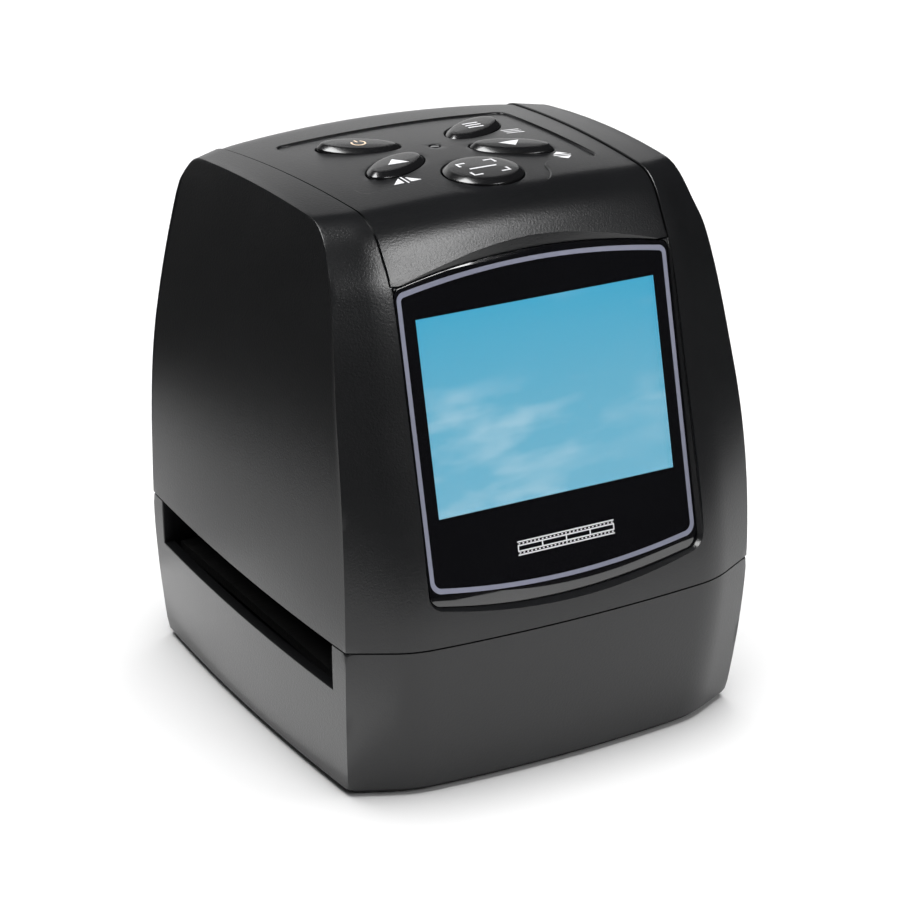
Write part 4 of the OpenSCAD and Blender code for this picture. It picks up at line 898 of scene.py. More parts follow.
cover_black = moulded("cover_black", (0.006, 0.006, 0.0065), (0.01, 0.01, 0.011), 0.5)
vents = grown("vents", [(4 * i, 0, 0) for i in range(-4, 5)], block((-0.8, -9, -1), (0.8, 9, 8)), cover_black)
bottom_cover = base_form(cover_inset, cover_z, base_foot - 0.05, "bottom_cover_skin", rows=2)
worked(bottom_cover, ("join", base_form(wall + 0.2, cover_z + 0.2, spigot_top, "tool", False, 2)),
       ("cut", posts(foot_places, foot_r + 0.1, cover_z - 1, cover_z + 0.6)),
       ("cut", posts(post_places, head_way, -1, 8)), ("cut", posts(cover_screw_places, small_way, -1, 8)),
       ("cut", posts(cover_screw_places, small_head_r + 0.1, -1, cover_z + 1.4)), ("cut", vents))
finished(bottom_cover, cover_black, "inner_plastic", "bottom_cover")


# ------------------------------------------------------------------ window
# One pane of clear acrylic, polished at its edges and printed black behind
# except over the picture, with a silver line round it. It is stuck into the
# recess on a frame of adhesive tape and lies just below the lips.
picture_w, picture_l, line_half = 48.4, 34.9, 0.41


def glossy(name, colour, rough, coat=1.0, rough_spread=0.05):
    """Polished plastic: a faint change of tone and of polish under a clear coat."""
    material, tree, surface, place = shader(name)
    fill(tree, surface, {
        "Base Color": tone(tree, noise(tree, place, 35, 3, 11.0), [c * 0.8 for c in colour],
                           [c * 1.25 for c in colour]),
        "Roughness": ramp(tree, noise(tree, place, 260, 4, 5.0), 0.3, 0.75, max(rough - rough_spread, 0.02),
                          rough + rough_spread),
        "IOR": 1.5, "Coat Weight": coat, "Coat Roughness": 0.03})
    return material


def clear(name, colour, ior, rough=0.01):
    """Clear plastic or glass; the faintest unevenness in its polish."""
    material, tree, surface, place = shader(name)
    fill(tree, surface, {"Base Color": colour, "Transmission Weight": 1, "IOR": ior,
                         "Roughness": ramp(tree, noise(tree, place, 300, 3, 2.0), 0.4, 0.8, rough, rough + 0.03)})
    return material


def line_tool(h_low, h_top):
    """The silver line between its outer and inner edge."""
    outer, inner = [arched_outline(26.95 + g, 21.92 + g, -29.62 - g, 2.45, 1.2 + g, 2.0 + g)
                    for g in (line_half, -line_half)]
    return worked(plate(outer, h_low, h_top, on_window, "silver_line"),
                  ("cut", plate(inner, h_low - 1, h_top + 1, on_window)))


def pane_form(name, line, h_low, h_top, r=0.03):
    """A flat plate on the window's plane with its front edge broken."""
    rows = [(0, h_low)] + [(r * math.cos(a) - r, h_top - r + r * math.sin(a)) for a in quarter[::2]]
    return tube([[on_window(x + off * a, u + off * b, h) for (x, u), (a, b) in zip(line, outward(line))]
                 for off, h in rows], name)


print_black = glossy("print_black_under_acrylic", (0.0035, 0.0035, 0.0045), 0.07)
print_silver = glossy("print_silver_under_acrylic", (0.27, 0.28, 0.36), 0.2)
print_white = glossy("print_white", (0.75, 0.75, 0.77), 0.4, 0.2)
clear_acrylic = clear("clear_acrylic", (0.97, 0.98, 0.99), 1.49)
pane = worked(pane_form("window_pane", window_outline(0), -pane_t, 0),
              ("cut", plate(rect(picture_w / 2, picture_l / 2), -9, 9, on_window)), ("cut", line_tool(-0.3, 0.5)))
finished(pane, print_black, "window_plastic", "display_window")
finished(line_tool(-0.3, 0), print_silver, "window_plastic", "display_window")
finished(plate(rect(picture_w / 2 - 0.01, picture_l / 2 - 0.01), 0.02 - pane_t, 0, on_window, "picture_cover"),
         clear_acrylic, "window_plastic", "display_window")

# A short strip of film with four frames and its perforations
strip_x, strip_u, strip_w, strip_l, bar = 0.6, -25.6, 20.0, 2.6, 0.24
hole_pitch, frame_pitch = 0.8, 4.94
marks = []
for s in (-1, 1):
    marks += [rect(strip_w / 2, bar / 2, 0, s * off) for off in ((strip_l - bar) / 2, strip_l / 2 - 0.8)]
    marks += [rect(0.16, 0.13, hole_pitch * i, s * (strip_l / 2 - 0.47)) for i in range(-12, 13)]
marks += [rect(bar / 2, strip_l / 2 - 0.9, frame_pitch * i) for i in range(-2, 3)]
marks = [plate([(a + strip_x, u + strip_u) for a, u in mark], -0.02, 0.012, on_window) for mark in marks]
finished(merged(marks, "film_sign"), print_white, "window_plastic")


# ------------------------------------------------------------------ screen
# A 2.4-inch colour liquid-crystal panel in a steel tray, lit from behind.
# It shows a plain sample picture: a blue sky with a few thin clouds.
panel_top_h, glass_t = -pane_t - 0.3, 1.6
lcd, tree, surface, place = shader("lit_sky_picture")
to_plane = add(tree, "ShaderNodeMapping", {"Vector": place, "Location": on_window(0, 0, 0) * MM,
                                           "Rotation": (math.pi / 2 - screen_lean, 0, 0)}, vector_type="TEXTURE")
split = add(tree, "ShaderNodeSeparateXYZ", {"Vector": to_plane.outputs["Vector"]})
up_picture = ramp(tree, split.outputs["Y"], -picture_l / 2 * MM, picture_l / 2 * MM)
sky = add(tree, "ShaderNodeValToRGB", {"Fac": up_picture})
sky.color_ramp.elements.new(0.5)
for i, colour in enumerate([(0.17, 0.49, 0.66, 1), (0.13, 0.46, 0.64, 1), (0.058, 0.42, 0.64, 1)]):
    sky.color_ramp.elements[i].position, sky.color_ramp.elements[i].color = i / 2, colour
stretched = add(tree, "ShaderNodeMapping", {"Vector": to_plane.outputs["Vector"], "Scale": (0.5, 1.5, 1)}).outputs[0]
wisps, banks = noise(tree, stretched, 130, 6, 4.2), noise(tree, stretched, 42, 2, 9.1)
cloud = add(tree, "ShaderNodeMath", {0: ramp(tree, wisps, 0.45, 0.75), 1: ramp(tree, banks, 0.48, 0.66)},
            operation="MULTIPLY").outputs[0]
picture = tone(tree, ramp(tree, cloud, 0, 1, 0, 0.75), sky.outputs["Color"], (0.50, 0.72, 0.82))
fill(tree, surface, {"Emission Color": picture, "Emission Strength": 0.97, "Base Color": (0.01, 0.01, 0.012),
                     "Roughness": 0.35})
screen_border = moulded("screen_border", (0.006, 0.006, 0.007), (0.009, 0.009, 0.01), 0.35)
glass_back, lit_half_w, lit_half_l = panel_top_h - glass_t, 24.6, 18.1
panel = worked(plate(rect(panel_w / 2, panel_l / 2), glass_back, panel_top_h, on_window, "screen_panel_body"),
               ("join", plate(rect(panel_w / 2 + 1, panel_l / 2 + 1), glass_back - 1.4, glass_back + 0.01,
                              on_window)),
               ("cut", plate(rect(lit_half_w, lit_half_l), panel_top_h - 0.1, 9, on_window)))
finished(panel, screen_border, "screen_glass", "screen_panel")
finished(plate(rect(lit_half_w - 0.01, lit_half_l - 0.01), panel_top_h - 0.12, panel_top_h - 0.04, on_window,
               "screen_picture"), lcd, "screen_glass", "screen_panel")


# ----------------------------------------------------------- button caps
# Four leaf-shaped keys and the round scan key, moulded in gloss black with
# a flange under the deck. Each has a flat top in a wide bevel, and a sign
# printed on it in white.
cap_gap, cap_rise, flange_t = 0.25, 0.9, 1
cap_foot = deck_under - 0.15 - flange_t
cap_bevel, cap_crown = 1.1, 0.05
key_gloss = glossy("key_gloss", (0.006, 0.006, 0.0065), 0.24, 0.25, 0.02)
sign_warm = glossy("sign_print_warm", (0.80, 0.62, 0.45), 0.4, 0.2)


def cap(name, half_a, half_b, place, turn):
    """A cap from its flange to its crown, as rings of an ellipse."""
    edge, inset, shelf = deck_z(*place) + cap_rise - cap_crown, cap_gap + cap_bevel, cap_foot + flange_t
    rows = [(0.9, cap_foot), (0.9, shelf - 0.1), (0.8, shelf), (-cap_gap, shelf)]
    rows += [(-cap_gap - inward, edge - down) for inward, down in
             ((0, 0.85), (0.02, 0.8), (0.07, 0.74), (0.82, 0.09), (0.93, 0.03), (cap_bevel, 0))]
    rows = [(half_a + off, half_b + off, z) for off, z in rows]
    rows += [((half_a - inset) * s, (half_b - inset) * s, edge + cap_crown * (1 - s * s))
             for s in (0.85, 0.65, 0.4, 0.15)]
    return tube([[(x, y, z) for x, y in oval(place, a, b, turn, 96)] for a, b, z in rows], name)


def crown_z(half_a, half_b, place, x, y, turn):
    """Height of a cap's crown over a point given from the cap's middle."""
    u, v = x * math.cos(turn) + y * math.sin(turn), y * math.cos(turn) - x * math.sin(turn)
    inset = cap_gap + cap_bevel
    return deck_z(*place) + cap_rise - cap_crown * min(1, (u / (half_a - inset)) ** 2 + (v / (half_b - inset)) ** 2)


def stroke(points, width):
    """Outline of a bent bar along points, with square ends."""
    left, right = [], []
    for before, p, after in zip(points[:1] + points, points, points[1:] + points[-1:]):
        d = (Vector(after) - Vector(before)).normalized() * width / 2
        left.append((p[0] - d.y, p[1] + d.x))
        right.append((p[0] + d.y, p[1] - d.x))
    return left + right[::-1]


def print_on(name, outlines, height_at, lift=0.015):
    """Printed marks that lie a hair above a surface whose height at x and y is given."""
    marks = merged([plate(line, 0, 1) for line in outlines], name)
    work = bmesh.new()
    work.from_mesh(marks.data)
    bmesh.ops.triangulate(work, faces=work.faces)
    for _ in range(4):
        long_edges = [edge for edge in work.edges if edge.calc_length() > 0.45 * MM
                      and abs(edge.verts[0].co.z - edge.verts[1].co.z) < 0.5 * MM]
        if long_edges:
            bmesh.ops.subdivide_edges(work, edges=long_edges, cuts=1)
            bmesh.ops.triangulate(work, faces=work.faces)
    for vert in work.verts:
        up = lift if vert.co.z > 0.5 * MM else -0.04
        vert.co.z = (height_at(vert.co.x / MM, vert.co.y / MM) + up) * MM
    work.to_mesh(marks.data)
    work.free()
    return marks


triangle_up = [(-2.1, -1.1), (2.1, -1.1), (0.02, 1.4), (-0.02, 1.4)]
ring_line = [(1.25 * math.sin(math.radians(t)), 1.25 * math.cos(math.radians(t))) for t in range(38, 323, 12)]
signs = {
    "power": [stroke(ring_line, 0.34), stroke([(0, 0.45), (0, 1.65)], 0.34)],
    "menu": [stroke([(-1.6, 1.15 * i), (1.6, 1.15 * i)], 0.4) for i in (-1, 0, 1)],
    "mirror": [triangle_up],
    "flip": [[(x, -y) for x, y in reversed(triangle_up)]],
    "scan": [stroke([(sx * 3.6, sy * 1.7), (sx * 3.6, sy * 3.3), (sx * 1.9, sy * 3.3)], 0.5) for sx, sy in four(1, 1)]
    + [stroke([(-2.7, 0), (2.7, 0)], 0.5)],
}
for key, marks in signs.items():
    side, end = key_sides.get(key, (0, 0))
    turn = side * end * leaf_turn
    spot = leaf_place(side, end) if side else (0, -scan_y)
    a, b = (leaf_a, leaf_b) if side else (scan_r, scan_r)
    finished(cap(key + "_cap", a, b, spot, turn), key_gloss, "button_plastic", key + "_button",
             body=key + "_key", angle=40)
    printed = print_on(key + "_sign", [[(spot[0] + x, spot[1] + y) for x, y in mark] for mark in marks],
                       lambda x, y: crown_z(a, b, spot, x - spot[0], y - spot[1], turn))
    finished(printed, sign_warm if key == "power" else print_white, "button_plastic", body=key + "_key")


# ------------------------------------------------------------- deck signs
# Small white signs printed on the sunk field beside the keys: a list for
# the menu, and a picture mirrored and turned over for the two keys below.
def dashes(start, end, width, step=0.35):
    """A straight stroke cut into short lengths, so that it can follow a curved surface."""
    a, b = Vector(start), Vector(end)
    count = max(2, int((b - a).length / step))
    return stroke([tuple(a.lerp(b, i / count)) for i in range(count + 1)], width)


deck_signs = [dashes((16.3, 8.3 + 1.05 * i), (20.1, 8.3 + 1.05 * i), 0.34) for i in (-1, 0, 1)]
deck_signs += [dashes((-14.2, -10.5), (-14.2, -7.3), 0.3), [(-14.9, -10.1), (-14.9, -7.7), (-17.0, -10.1)],
               [(-13.5, -10.1), (-11.4, -10.1), (-13.5, -7.7)]]
deck_signs += [dashes((16.5, -8.9), (20.1, -8.9), 0.32), [(16.8, -8.25), (19.8, -8.25), (18.3, -6.85)],
               [(16.8, -9.55), (18.3, -10.95), (19.8, -9.55)]]
finished(print_on("deck_signs", deck_signs, deck_z), print_white, "case_plastic")


# ------------------------------------------------------------ rubber feet
# Four round pads of black rubber, pushed into shallow pockets in the bottom
# cover, with a broken edge and a sole worn matt.
foot_rubber = moulded("foot_rubber", (0.012, 0.012, 0.012), (0.02, 0.02, 0.021), 0.8, 0.6, 0.02)


def lathed(line, sides, name="tool"):
    """A closed turned body from a profile of radius and height, first and last on the axis."""
    inner = line[1:-1]
    points = [(x, y, z) for r, z in inner for x, y in oval((0, 0), r, sides=sides)]
    low, top = len(points), len(points) - sides
    faces = loops(sides, len(inner) - 1) + [(low, i, (i + 1) % sides) for i in range(sides)]
    faces += [(low + 1, top + i, top + (i + 1) % sides) for i in range(sides)]
    return solid(points + [(0, 0, line[0][1]), (0, 0, line[-1][1])], faces, name)


foot_top = cover_z + 0.6
pad = lathed([(0, 0), (foot_r - 0.9, 0), (foot_r - 0.4, 0.08), (foot_r - 0.1, 0.25), (foot_r, 0.45),
              (foot_r, foot_top), (0, foot_top)], 64)
finished(grown("rubber_feet_pads", [(x, y, 0) for x, y in foot_places], pad, foot_rubber), foot_rubber, "foot_rubber",
         "rubber_feet", angle=50)


# ------------------------------------------------------------------ screws
# Zinc-plated screws with a low domed head and a cross recess: four long ones
# up through the posts, and small ones that hold the cover, the band, the
# screen's bracket, the boards and the tower.
def grained(name, dark, light, grain, rough, more=(), pitting=None):
    """A plain finish whose tone, and its roughness where that is a pair, follow one noise."""
    material, tree, surface, place = shader(name)
    grains = noise(tree, place, *grain)
    if isinstance(rough, tuple):
        rough = ramp(tree, grains, 0.3, 0.7, *rough)
    fill(tree, surface, {"Base Color": tone(tree, grains, dark, light), "Roughness": rough, **dict(more)})
    if pitting:
        fill(tree, surface, {"Normal": relief(tree, noise(tree, place, *pitting), 0.004)})
    return material


metal, coat = {"Metallic": 1}, {"Coat Weight": 1}
screw_steel = grained("screw_steel", (0.42, 0.42, 0.43), (0.56, 0.56, 0.57), (420, 4, 1.0), (0.24, 0.42), metal,
                      (2600, 2, 8.0))
pitch, thread_sides, arm_half, recess_depth = 0.8, 20, 0.26, 0.75


def screw_form(r, length, head_r, head_h=1.3):
    """A screw whose shank runs up from 0; the head is below it."""
    head = [(0, 1), (0.55, 0.97), (0.82, 0.82), (0.97, 0.55), (1, 0.35), (1, 0)]
    head = lathed([(head_r * a, -head_h * b) for a, b in head]
                  + [(r * 0.8, 0), (r * 0.8, length - r), (r * 0.3, length), (0, length)], 36)
    section = [(r * 0.78, -0.3 * pitch), (r, 0), (r * 0.78, 0.3 * pitch)]
    rings = []
    for i in range(int((length - r * 1.2) / pitch) * thread_sides + 1):
        a, z = math.tau * i / thread_sides, 0.4 * pitch + pitch * i / thread_sides
        rings.append([(q * math.cos(a), q * math.sin(a), z + dz) for q, dz in section])
    low, high, arm = -head_h - 1, recess_depth - head_h, head_r * 0.52
    cross = worked(block((-arm, -arm_half, low), (arm, arm_half, high)),
                   ("join", block((-arm_half, -arm, low), (arm_half, arm, high))))
    return worked(head, ("join", tube(rings)), ("cut", cross))


small_r = 1
board_back = bracket_depth + 1.2 + 2.4 + boards_t
button_board_z, sensor_z = case_h - 9.6, base_h + guide_t + 34
on_front, head_up, head_down = (math.pi / 2 - screen_lean, 0, 0), (math.pi, 0, 0), (0, 0, 0)
screw_groups = [
    ("case_screws", (1.3, 14, 2), head_down, [(x, y, screw_seat) for x, y in post_places]),
    ("cover_screws", (small_r, 6, small_head_r), head_down, four(35, 12, cover_z + 1.4)),
    ("band_screws", (small_r, 5.6, small_head_r), head_down, [(x, y, case_h - 10.4) for x, y in tab_places]),
    ("bracket_screws", (small_r, 4, small_head_r), on_front,
     [on_window(x, u, -bracket_depth - 1.2) for x, u in bracket_places]),
    ("tower_screws", (small_r, 3.6, small_head_r), head_up, four(23, 15, guide_z + guide_t + 2.05)),
    ("board_screws", (small_r, 4.8, small_head_r), on_front, [on_window(x, u, -board_back) for x, u in four(26, 17)]),
    ("board_screws", (small_r, 4.8, small_head_r), head_down,
     [(x, y, button_board_z) for x, y in ((-20.5, light_y), (20.5, light_y), (-12.5, -17), (12.5, -17))]),
    ("board_screws", (small_r, 4.8, small_head_r), head_up,
     [(sx * 30.5, slot_half - 16.5 + y, socket_floor) for sx in (-1, 1) for y in (3, 12)]
     + four(13, 12.5, sensor_z + 1.2) + four(20.5, 11, 6.8)),
]
for count, (node, sizes, turn, places) in enumerate(screw_groups):
    group = grown(node + "_" + str(count), places, screw_form(*sizes), screw_steel, turn)
    finished(group, screw_steel, "screw_steel", node, angle=35)


# ------------------------------------------------------- film gate and light
# A black deck and guide hold the film holder between them. A glass over an
# opal diffuser fills the gate, and a white light box with nine diodes lies
# under it. Light scratches run along the film's way.
def dress(material, *names):
    for name in names:
        for place_of_finish in nodes[name].material_slots:
            place_of_finish.material = material


matt_black = moulded("matt_black_moulding", (0.007, 0.007, 0.0075), (0.013, 0.013, 0.014), 0.55, 0.8)
worn_black, tree, surface, place = shader("matt_black_worn_along_film")
drawn_out = add(tree, "ShaderNodeMapping", {"Vector": place, "Scale": (0.02, 1, 1)}).outputs["Vector"]
scratches = noise(tree, drawn_out, 1500, 3, 6.0)
fill(tree, surface, {
    "Base Color": tone(tree, ramp(tree, scratches, 0.6, 0.75), (0.012, 0.012, 0.013), (0.04, 0.04, 0.042)),
    "Roughness": ramp(tree, scratches, 0.4, 0.75, 0.5, 0.3), "Normal": relief(tree, scratches, 0.006)})
opal_white = moulded("opal_white_moulding", (0.74, 0.74, 0.72), (0.84, 0.84, 0.82), 0.5, 0.9)
gate_glass = clear("gate_glass", (0.86, 0.93, 0.92), 1.52)
acetal = moulded("natural_acetal", (0.66, 0.63, 0.54), (0.74, 0.71, 0.62), 0.42, 1.2, 0.006)
dress(worn_black, "film_guide", "film_deck")
dress(matt_black, "lens_tower", "lens_holder", "lens_barrel", "display_bracket", "click_stop_housing")
dress(opal_white, "light_box")
dress(acetal, "click_stop_pin", "power_stem", "menu_stem", "mirror_stem", "flip_stem", "scan_stem")
gate_w, gate_l = 38, 26
for name, past, low, high, material in (("gate_glass_plate", 1.1, 0.01, deck_t - 0.7, gate_glass),
                                        ("opal_diffuser", 2.3, -1.6, -0.1, opal_white)):
    layer = plate(rect(gate_w / 2 + past, gate_l / 2 + past), deck_foot + low, deck_foot + high, name=name)
    finished(layer, material, "gate_glass", "gate_glass_and_diffuser")


# ------------------------------------------------------- click-stop spring
# A coil of 0.5 mm spring wire between the pin's collar and the roof of its
# housing, built as one fixed coil over the part's full height. The real spring
# shortens by the pin's travel when a film holder lifts the pin.
spring_low, spring_high = [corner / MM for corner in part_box("click_stop_spring")]
middle = (spring_low + spring_high) / 2
coil_r, wire_r, turns, coil_steps, pin_travel = 1.75, 0.25, 5, 36, 0.9
rings = []
for i, z in enumerate(spread(spring_low.z + wire_r, spring_high.z - wire_r, turns * coil_steps)):
    a = math.tau * i / coil_steps
    rings.append([(middle.x + (coil_r + u) * math.cos(a), middle.y + (coil_r + u) * math.sin(a), z + v)
                  for u, v in oval((0, 0), wire_r, sides=12)])
spring = tube(rings, "click_stop_coil")
finished(spring, screw_steel, "screw_steel", "click_stop_spring", angle=60)
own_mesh(spring)


# ----------------------------------------------------------------- sockets
# Three sockets stand on a small board behind the rear panel: a USB socket
# and a card socket of tinned sheet steel, and a yellow jack for a TV lead.
mouth_y = case_d / 2 - wall - 0.1
tinned = grained("tinned_sheet_steel", (0.50, 0.50, 0.50), (0.66, 0.66, 0.65), (240, 4, 12.0), (0.28, 0.45), metal)
gold = grained("gold_plated_contacts", (0.62, 0.42, 0.13), (0.75, 0.53, 0.19), (700, 2, 3.0), 0.25, metal)
jack_yellow = moulded("jack_yellow", (0.55, 0.34, 0.01), (0.66, 0.43, 0.02), 0.35, 1.3, 0.005)


def rearward(outline, y0, y1, name="tool"):
    """An outline in x and z made thick along Y."""
    return plate(outline, y0, y1, lambda x, z, y: (x, y, z), name)


sheet_t = 0.4
usb_shell = worked(rearward(rounded_rect(usb_w / 2, usb_h / 2, -socket_x, usb_z, 0.7), mouth_y - 9, mouth_y,
                            "usb_shell"),
                   ("cut", rearward(rounded_rect(usb_w / 2 - sheet_t, usb_h / 2 - sheet_t, -socket_x, usb_z, 0.5),
                                    mouth_y - 6.5, mouth_y + 1)))
finished(usb_shell, tinned, "plated_steel", "usb_socket")
tongue = block((-socket_x - 2.4, mouth_y - 6.6, usb_z - 0.5), (-socket_x + 2.4, mouth_y - 1.5, usb_z + 0.5),
               "usb_tongue")
finished(tongue, matt_black, "plated_steel", "usb_socket")
contact = block((-0.17, mouth_y - 6.5, usb_z - 0.58), (0.17, mouth_y - 1.8, usb_z - 0.48))
finished(grown("usb_contacts", [(-socket_x + 0.8 * i, 0, 0) for i in range(-2, 3)], contact, gold), gold,
         "plated_steel", "usb_socket")
jack = worked(rearward(rounded_rect(3, 3, socket_x, jack_z, 0.3), mouth_y - 12, mouth_y - 1, "jack_body"),
              ("join", rearward(oval((socket_x, jack_z), 2.9, sides=56), mouth_y - 2, mouth_y)),
              ("cut", rearward(oval((socket_x, jack_z), 1.8), mouth_y - 10, mouth_y + 1)))
finished(jack, jack_yellow, "jack_plastic", "tv_socket")
lip = worked(rearward(oval((socket_x, jack_z), 2.45), mouth_y - 0.5, mouth_y + 0.04, "jack_lip"),
             ("cut", rearward(oval((socket_x, jack_z), 1.82), mouth_y - 3, mouth_y + 1)))
finished(lip, tinned, "jack_plastic")
cage = worked(rearward(rounded_rect(card_w / 2, card_h / 2, 0, card_z, 0.25), slot_half - 15, mouth_y, "card_cage"),
              ("cut", rearward(rounded_rect(12.1, card_h / 2 - sheet_t, 0, card_z, 0.1), slot_half - 12.5,
                               mouth_y + 1)))
finished(cage, tinned, "plated_steel", "card_socket")
finger = block((-0.5, slot_half - 12.4, card_z - 1.15), (0.5, slot_half - 6, card_z - 0.85))
finished(grown("card_contacts", [(2.5 * i, 0, 0) for i in range(-4, 5)], finger, gold), gold, "plated_steel",
         "card_socket")


# ------------------------------------------------------ boards and wiring
# Five green circuit boards with black chips and cream connectors, joined by
# amber film ribbons, one white flat cable and a red and black pair of wires.
board_green, tree, surface, place = shader("green_solder_mask")
tracks = add(tree, "ShaderNodeTexBrick", {
    "Vector": place, "Scale": 620.0, "Mortar Size": 0.05, "Mortar Smooth": 0.1, "Brick Width": 1.7,
    "Row Height": 0.45, "Color1": (0, 0, 0), "Color2": (0.35, 0.35, 0.35), "Mortar": (1, 1, 1)},
    offset=0.37, squash=1.6)
copper = add(tree, "ShaderNodeRGBToBW", {"Color": tracks.outputs["Color"]}).outputs["Val"]
fill(tree, surface, {"Base Color": tone(tree, copper, (0.006, 0.075, 0.028), (0.02, 0.17, 0.06)),
                     "Roughness": ramp(tree, noise(tree, place, 90, 2, 2.0), 0.3, 0.7, 0.25, 0.4),
                     "Coat Weight": 0.4, "Normal": relief(tree, copper, 0.03)})
epoxy = moulded("chip_epoxy", (0.011, 0.011, 0.012), (0.018, 0.018, 0.019), 0.6, 1.5, 0.006)
cream = moulded("connector_cream", (0.50, 0.45, 0.33), (0.60, 0.55, 0.42), 0.5, 1.2, 0.006)
switch_black = moulded("switch_black", (0.02, 0.02, 0.022), (0.03, 0.03, 0.032), 0.45, 1.2, 0.006)
tape_black = moulded("adhesive_tape", (0.01, 0.01, 0.01), (0.016, 0.016, 0.016), 0.9, 0.5, 0.02)


def striped(name, dark, light, pitch, rough):
    """A flat ribbon with its conductors showing as fine lines along it."""
    material, tree, surface, place = shader(name)
    lines = add(tree, "ShaderNodeTexWave", {"Vector": place, "Scale": math.pi / (10 * pitch * MM)}, wave_type="BANDS",
                bands_direction="X").outputs["Fac"]
    shades = ramp(tree, lines, 0.35, 0.65)
    fill(tree, surface, {"Base Color": tone(tree, shades, dark, light), "Normal": relief(tree, shades, 0.03),
                         "Roughness": ramp(tree, noise(tree, place, 150, 2), 0.3, 0.7, rough - 0.05, rough + 0.08)})
    return material


dress(board_green, "button_board", "main_board", "socket_board", "sensor_board", "light_board")
dress(epoxy, "processor", "memory_chips")
dress(cream, "board_parts")
dress(switch_black, "switch_bodies")
dress(tape_black, "window_tape")
dress(tinned, "screen_tray")
dress(striped("amber_film_ribbon", (0.30, 0.10, 0.012), (0.55, 0.24, 0.04), 0.6, 0.3),
      "screen_ribbon", "button_ribbon", "sensor_ribbon")
dress(striped("white_flat_cable", (0.45, 0.45, 0.44), (0.70, 0.70, 0.68), 1.0, 0.45), "board_link_ribbon")
wires, tree, surface, place = shader("red_and_black_insulation")
wire_x = add(tree, "ShaderNodeSeparateXYZ", {"Vector": place}).outputs["X"]
which_wire = ramp(tree, wire_x, 11.99 * MM, 12.01 * MM)
fill(tree, surface, {"Base Color": tone(tree, which_wire, (0.42, 0.02, 0.015), (0.012, 0.012, 0.012)),
                     "Roughness": ramp(tree, noise(tree, place, 500, 2), 0.3, 0.7, 0.4, 0.55)})
dress(wires, "light_lead")


# -------------------------------------------------------- lens and sensor
# Three coated glass elements in a black barrel over an infrared filter and
# the image sensor.
dress(clear("coated_lens_glass", (0.86, 0.92, 0.97), 1.6), "lens_elements")
dress(clear("infrared_filter_glass", (0.50, 0.80, 0.74), 1.52), "infrared_filter")
sensor, tree, surface, place = shader("sensor_under_cover_glass")
cells = add(tree, "ShaderNodeTexVoronoi", {"Vector": place, "Scale": 9000}).outputs["Distance"]
fill(tree, surface, {"Base Color": tone(tree, cells, (0.012, 0.02, 0.035), (0.05, 0.03, 0.07)), "Roughness": 0.15,
                     **coat})
dress(sensor, "image_sensor")


# ------------------------------------------------------------ status light
# A small diode on the button board, and a smoked pipe that carries its light
# to the deck. It is off, so the pipe's end looks dark.
smoked = grained("smoked_light_pipe", (0.010, 0.010, 0.011), (0.018, 0.018, 0.02), (400, 2), 0.12, coat)
pipe_foot, pipe_top = button_board_z + boards_t + 1.7, deck_z(0, light_y) - 0.1
collar_low, collar_high, collar_r = deck_under - 0.9, deck_under - 0.1, 1.8
pipe = lathed([(0, pipe_foot), (1, pipe_foot), (1, collar_low), (collar_r, collar_low), (collar_r, collar_high),
               (1, collar_high), (1, pipe_top - 0.25), (0.93, pipe_top - 0.1), (0.75, pipe_top - 0.03),
               (0.4, pipe_top), (0, pipe_top)], 40, "status_pipe")
pipe.data.transform(Matrix.Translation(Vector((0, light_y, 0)) * MM))
finished(pipe, smoked, "light_pipe", "status_light_pipe", angle=50)
dress(grained("clear_diode_epoxy", (0.55, 0.75, 0.52), (0.70, 0.88, 0.68), (900, 2), 0.2), "status_light")


# ------------------------------------------------------ floor and soft lights
# A plain pale floor under a big soft light. Cards and panels that only
# reflections see draw the sheen: a bright one behind, one at the front for
# the brow, a grey and a bounce card by the left side, and black all round.
def sheet(name, points, faces, paper_name, grey, rough):
    paper, tree, surface, place = shader(paper_name)
    fill(tree, surface, {"Base Color": (grey, grey, grey), "Roughness": rough})
    mesh = bpy.data.meshes.new(name)
    mesh.from_pydata(points, [], faces)
    mesh.materials.append(paper)
    piece = new_object(name, mesh)
    return piece


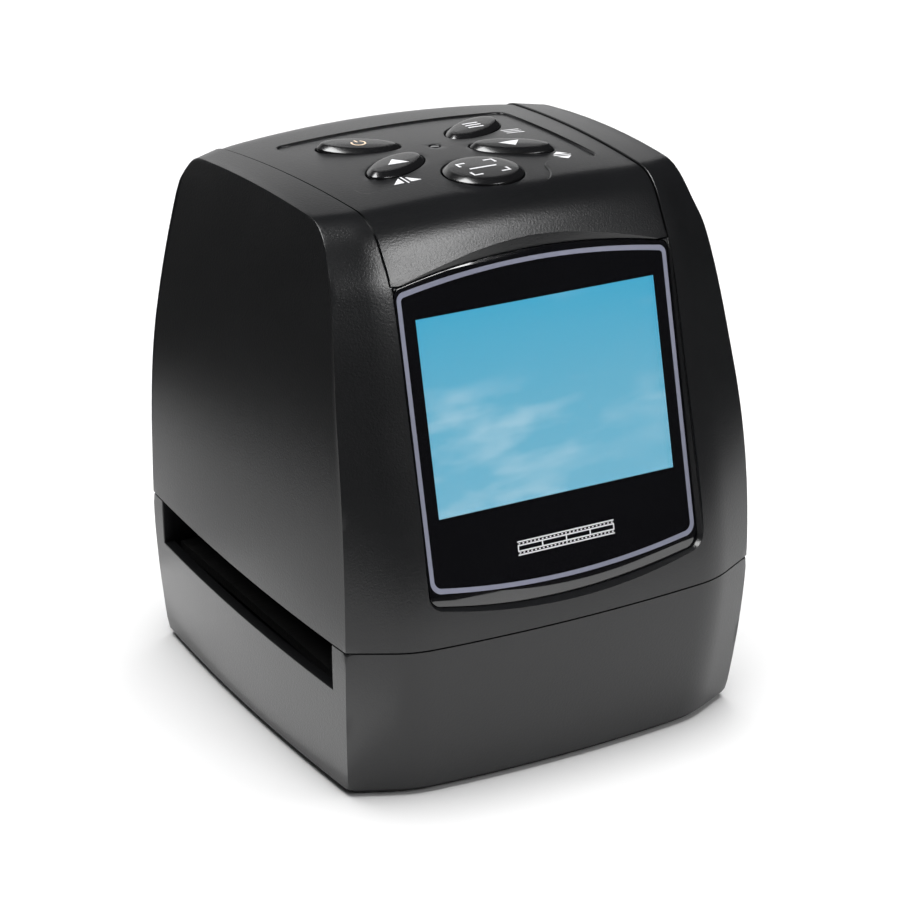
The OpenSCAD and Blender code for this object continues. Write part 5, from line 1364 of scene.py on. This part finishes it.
sheet("floor", [(-3, -3, 0), (3, -3, 0), (3, 3, 0), (-3, 3, 0)], [(0, 1, 2, 3)], "pale_floor", 0.86, 0.9)
surround_r, surround_at, surround_sides = 0.242, (0.05, -0.045), 48
circles = [(*place, 0.001) for r in (surround_r, 2.9) for place in oval(surround_at, r, sides=surround_sides)]
open_ring = [face for i, face in enumerate(loops(surround_sides, 1)) if not 5 <= i <= 9]
card_corners = [(x, y, 0.0008) for x, y in ((-0.3, -0.04), (-0.066, 0.008), (-0.058, 0.25), (-0.3, 0.25))]
for piece in (sheet("grey_card", card_corners, [(0, 1, 2, 3)], "grey_card_paper", 0.48, 1),
              sheet("black_surround", circles, open_ring, "black_surround_paper", 0.004, 1)):
    piece.visible_camera = piece.visible_diffuse = piece.visible_shadow = piece.visible_transmission = False


def softbox(name, place, aim, size, radiance, only_reflected=True):
    """A rectangular light; one for reflections alone gives the surfaces no other light."""
    data = bpy.data.lights.new(name, "AREA")
    data.shape = "RECTANGLE"
    data.size, data.size_y = size
    data.energy = radiance * math.pi * size[0] * size[1]
    lamp = new_object(name, data)
    lamp.location = place
    lamp.rotation_euler = (Vector(place) - Vector(aim)).to_track_quat("Z", "Y").to_euler()
    lamp.visible_camera = False
    lamp.visible_diffuse = not only_reflected
    lamp.visible_glossy = only_reflected


softbox("overhead", (0, 0.1, 1.6), (0, 0, 0), (1.6, 1.6), 5.9, only_reflected=False)
softbox("front_fill", (0.2, -1.1, 0.9), (0, 0, 0.05), (0.5, 0.4), 6.0, only_reflected=False)
softbox("brow_panel", (0.26, -0.81, 0.707), (0, 0, 0.09), (0.36, 0.36), 15.0)
softbox("left_panel", (-0.56, 0.11, 0.90), (0, 0, 0.09), (0.56, 0.50), 17.0)
softbox("back_panel", (0.1, 1.3, 0.30), (0.1, 0, 0.09), (2.0, 0.56), 0.95)
softbox("back_panel_high", (-0.1, 1.3, 0.77), (-0.1, 0, 0.09), (1.6, 0.36), 0.45)
softbox("bounce_card", (-0.0615, -0.003, 0.0015), (-0.0615, -0.003, 1), (0.037, 0.13), 0.68)
world = bpy.data.worlds.new("studio")
scene.world = world
world.use_nodes = True
fill(world.node_tree, world.node_tree.nodes["Background"], {"Color": (0.02, 0.02, 0.021)})
